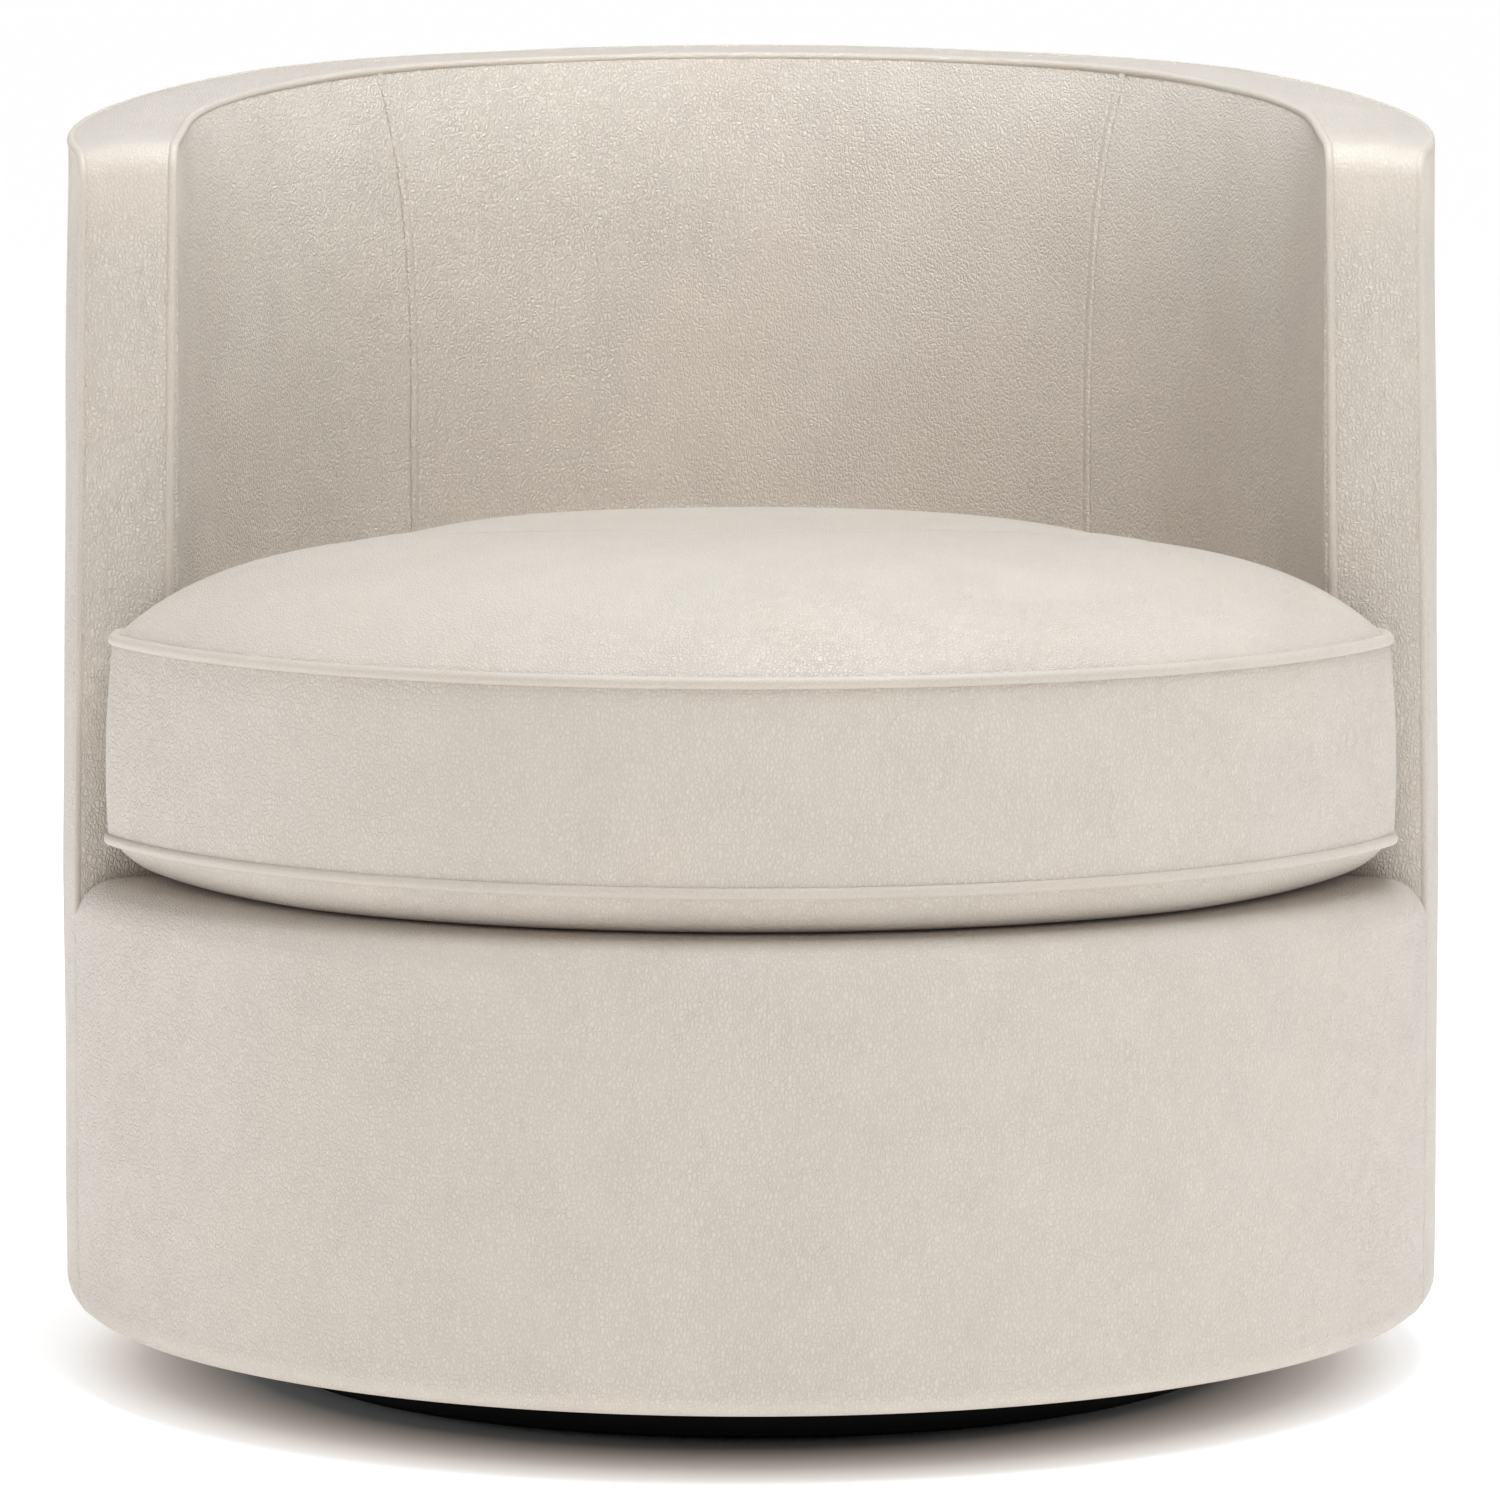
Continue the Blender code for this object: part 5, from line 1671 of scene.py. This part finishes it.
@dataclass
class SwivelBase:
    """The round plinth on its glides, and the ball-race swivel between it and the drum."""

    finishes: Finishes
    plinth_radius: float = 0.2903
    glide_radius: float = 0.014
    glide_height: float = 0.004
    glide_circle: float = 0.245
    race_radius: float = 0.120
    plate_radius: float = 0.150
    plate_hole: float = 0.060
    plate_thick: float = 0.002
    ball_radius: float = 0.003
    balls: int = 10
    mid_plane: float = 0.0331
    plate_space: float = 0.0076
    race_lip: float = 0.0009
    race_width: float = 0.0080
    race_slope: float = 0.0010
    groove_width: float = 0.0040
    groove_radius: float = 0.0026
    groove_turn: float = math.pi / 2.4
    cage_width: float = 0.005
    cage_thick: float = 0.001
    screws: int = 8
    screw_circle: float = 0.138
    screw_head: tuple[tuple[float, float], ...] = (
        (0.0, -0.0004), (0.0040, -0.0004), (0.0040, 0.0007), (0.0028, 0.0018), (0.0011, 0.0020),
        (0.0009, 0.0010), (0.0, 0.0010))
    dust_opening: float = 0.215

    def build(self) -> None:
        """Build the plinth, glides, plates, cage, screws and dust cover."""
        low, high = (float(corner[2]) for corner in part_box("plinth"))
        radius = self.plinth_radius
        profile = softened([(0.0, low), (radius, low), (radius, high), (0.0, high)], 0.0025, 6)
        add_piece("plinth_disc", *lathe(profile, 192), self.finishes.lacquer, Body.BASE, "plinth_paint",
                  ["plinth"], 40.0)
        profile = softened([(0.0, 0.0), (self.glide_radius, 0.0), (self.glide_radius, self.glide_height),
                            (0.0, self.glide_height)], 0.0012, 5)
        for number, centre in enumerate(circle_places(4, self.glide_circle, 0.5), 1):
            add_piece(f"glide_pad_{number}", *lathe(profile, 48, centre), self.finishes.plastic, Body.BASE,
                      "glide_plastic", [f"glide_{number}"], 40.0)
        self.build_plate("race_plate_lower", "swivel_plate_lower", -1, Body.BASE)
        self.build_plate("race_plate_upper", "swivel_plate_upper", 1, Body.CHAIR)
        self.build_cage()
        self.build_dust_cover()

    def build_plate(self, name: str, node: str, side: int, body: Body) -> None:
        """A pressed plate with its race: a flat ring with a raised, grooved circle, and screws.

        Args:
            name: name of the piece.
            node: node that it stands for.
            side: 1 for the upper plate, -1 for the lower one.
            body: the body that it rides on.
        """
        flat = self.mid_plane + side * self.plate_space / 2
        back = flat + side * self.plate_thick
        lip = self.mid_plane + side * self.race_lip
        race, wide, foot = self.race_radius, self.race_width, self.race_width - self.race_slope
        turns = np.linspace(-self.groove_turn, self.groove_turn, 9)
        across = race + self.groove_width * np.sin(turns) / math.sin(self.groove_turn)
        hollow = lip + side * self.groove_radius * (np.cos(turns) - math.cos(self.groove_turn))
        profile = [(self.plate_hole, back), (self.plate_hole, flat), (race - wide, flat), (race - foot, lip),
                   *zip(across, hollow), (race + foot, lip), (race + wide, flat), (self.plate_radius, flat),
                   (self.plate_radius, back)]
        add_piece(name, *lathe(profile, 128), self.finishes.steel, body, "steel", [node], 35.0)
        head = [(radius, flat - side * height) for radius, height in self.screw_head]
        for number, centre in enumerate(circle_places(self.screws, self.screw_circle, 0.25), 1):
            add_piece(f"{name}_screw_{number}", *lathe(head, 20, centre), self.finishes.steel, body, "steel",
                      sharp=40.0)

    def build_cage(self) -> None:
        """The ring that spaces the balls, and the balls in it, as one mesh."""
        low, high = self.mid_plane - self.cage_thick / 2, self.mid_plane + self.cage_thick / 2
        inside, outside = self.race_radius - self.cage_width, self.race_radius + self.cage_width
        ring = lathe([(inside, low), (outside, low), (outside, high), (inside, high)], 120)
        rise = np.linspace(-math.pi / 2, math.pi / 2, 13)
        ball = self.ball_radius * np.column_stack([np.cos(rise), np.sin(rise)])
        ball[:, 1] += self.mid_plane
        ball[[0, -1], 0] = 0.0
        balls = [lathe(ball, 20, centre) for centre in circle_places(self.balls, self.race_radius, 0.5)]
        add_piece("cage_and_balls", *joined([ring, *balls]), self.finishes.steel, Body.CAGE, "steel",
                  ["ball_cage"], 40.0)

    def build_dust_cover(self) -> None:
        """The black cloth ring stapled under the board."""
        low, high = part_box("dust_cover")
        inner, outer = self.dust_opening, float(high[0])
        under, over = float(low[2]), float(high[2])
        ring = lathe([(inner, under), (outer, under), (outer, over), (inner, over)], 160)
        piece = add_piece("dust_cloth", *ring, self.finishes.cloth, Body.CHAIR, "cloth", ["dust_cover"], 40.0)


# Studio


@dataclass
class Studio:
    """A white floor with a painted shadow and painted warm bounce round the chair, soft lights from above and
    both sides, and the camera of the photograph.
    """

    floor_size: float = 400.0
    camera_distance: float = 4.5
    camera_height: float = 0.8683
    pitch: float = 0.1124
    focal_pixels: float = 7633.4
    picture: float = 1500.0
    sensor: float = 36.0
    surround: float = 0.36
    # Painted floor light: a warm tint near the chair as painted bounce, and ramps (from, to, emission added)
    # that paint the chair's shadow on the floor.
    painted_bounce_tint: Colour = (1.0, 0.80, 0.66)
    painted_floor_light: tuple[Colour, ...] = ((0.295, 0.36, 0.31), (0.355, 0.395, 0.24), (0.40, 0.60, 0.14))

    def build(self) -> None:
        """Build floor, world, lights and camera."""
        self.build_floor()
        self.build_world()
        cool, plain, warm = (0.93, 1.01, 1.07), (1.0, 1.0, 1.0), (1.0, 0.95, 0.87)
        self.add_light("overhead", (0.26, -0.62, 2.7), (0.0, -0.05, 0.4), (1.0, 1.9), 61.0, cool)
        self.add_light("front_key", (0.1, -3.6, 2.4), (0.0, 0.0, 0.5), (1.6, 1.6), 11.5, plain)
        self.add_light("rear_panel", (-0.3, 3.4, 1.75), (0.0, 0.0, 0.7), (3.0, 0.8), 6.0, plain)
        self.add_light("inside_fill", (0.0, -3.3, 2.5), (0.0, 0.3, 0.70), (0.4, 0.4), 0.35, warm, 20.0)
        self.add_light("left_wall", (-2.9, 0.5, 0.55), (0.0, 0.0, 0.4), (2.4, 1.0), 21.0, cool)
        self.add_light("right_wall", (2.9, 0.6, 0.8), (0.0, 0.0, 0.4), (2.4, 1.4), 17.0, cool)
        self.build_camera()
        bpy.context.scene.view_settings.view_transform = "Standard"

    def build_floor(self) -> None:
        """A pale floor that glows around the chair, more and more away from it: painted light, which paints
        the chair's soft shadow and, in a warm tint near it, painted bounce; far out the glow keeps it white
        where no lamp reaches.
        """
        half = self.floor_size / 2
        corners = [(-half, -half, 0.0), (half, -half, 0.0), (half, half, 0.0), (-half, half, 0.0)]
        mesh = bpy.data.meshes.new("studio_floor")
        mesh.from_pydata(corners, [], [(0, 1, 2, 3)])
        sheet = NodeSheet("studio floor")
        moved = sheet.vector("ADD", sheet.place, second=(0.008, 0.0, 0.0))
        away = sheet.add("ShaderNodeVectorMath", {0: moved}, operation="LENGTH").outputs["Value"]
        # Painted shadow: the floor's emission is nil under the chair and rises in ramps away from it.
        rises = (sheet.spread(away, low, high, 0.0, rise) for low, high, rise in self.painted_floor_light)
        painted_floor_light = functools.reduce(lambda one, other: sheet.maths("ADD", one, other), rises)
        # Painted bounce: near the chair the emission is tinted warm.
        outer = sheet.spread(away, 0.32, 0.40, 0.0, 1.0)
        tint = sheet.blend(outer, rgba(*self.painted_bounce_tint), rgba(1.0, 1.0, 1.0))
        mesh.materials.append(sheet.dress(
            Base_Color=rgba(0.84, 0.84, 0.84), Roughness=0.9, Emission_Color=tint, Emission_Strength=painted_floor_light,
            Specular_IOR_Level=0.1))
        floor = bpy.data.objects.new("studio_floor", mesh)
        bpy.context.collection.objects.link(floor)

    def build_world(self) -> None:
        """A plain white surround."""
        world = bpy.data.worlds.new("studio")
        world.use_nodes = True
        back = world.node_tree.nodes["Background"]
        back.inputs["Color"].default_value = (1.0, 1.0, 1.0, 1.0)
        back.inputs["Strength"].default_value = self.surround
        bpy.context.scene.world = world

    def add_light(self, name: str, spot: Sequence[float], target: Sequence[float],
                  size: Sequence[float], power: float, tint: Colour, spread: float = 180.0) -> None:
        """A soft light that faces a target.

        Args:
            name: its name.
            spot: where it stands.
            target: what it faces.
            size: lengths of its sides.
            power: watts.
            tint: its colour.
            spread: degrees to which its light is held in.
        """
        lamp = bpy.data.lights.new(name, "AREA")
        lamp.shape = "RECTANGLE"
        lamp.size, lamp.size_y = size
        lamp.energy = power
        lamp.spread = math.radians(spread)
        lamp.color = tint
        made = bpy.data.objects.new(name, lamp)
        bpy.context.collection.objects.link(made)
        made.location = spot
        way = unit(np.array([target]) - np.array([spot]))[0]
        made.rotation_euler = (math.acos(-way[2]), 0.0, math.atan2(-way[0], way[1]))

    def build_camera(self) -> None:
        """The camera in front of the chair, above the rim, looking slightly down."""
        lens = bpy.data.cameras.new("camera")
        lens.sensor_width = self.sensor
        lens.lens = self.focal_pixels / self.picture * self.sensor
        lens.shift_x = -1.0 / self.picture
        lens.clip_end = 1000.0
        eye = bpy.data.objects.new("camera", lens)
        bpy.context.collection.objects.link(eye)
        eye.location = (0.0, -self.camera_distance, self.camera_height)
        eye.rotation_euler = (math.pi / 2 - self.pitch, 0.0, 0.0)
        bpy.context.scene.camera = eye


def main() -> None:
    """Build the chair over the frame, then the studio."""
    logging.basicConfig(level=logging.INFO, format="%(message)s")
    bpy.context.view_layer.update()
    form, finishes = WallForm(), Finishes()
    for part in (HiddenFrame(finishes), SwivelBase(finishes), SeatDeck(form, finishes),
                 WallCovers(form, finishes), SeatCushion(form, finishes), Studio()):
        LOG.info("building %s", type(part).__name__)
        part.build()


if __name__ == "__main__":
    main()
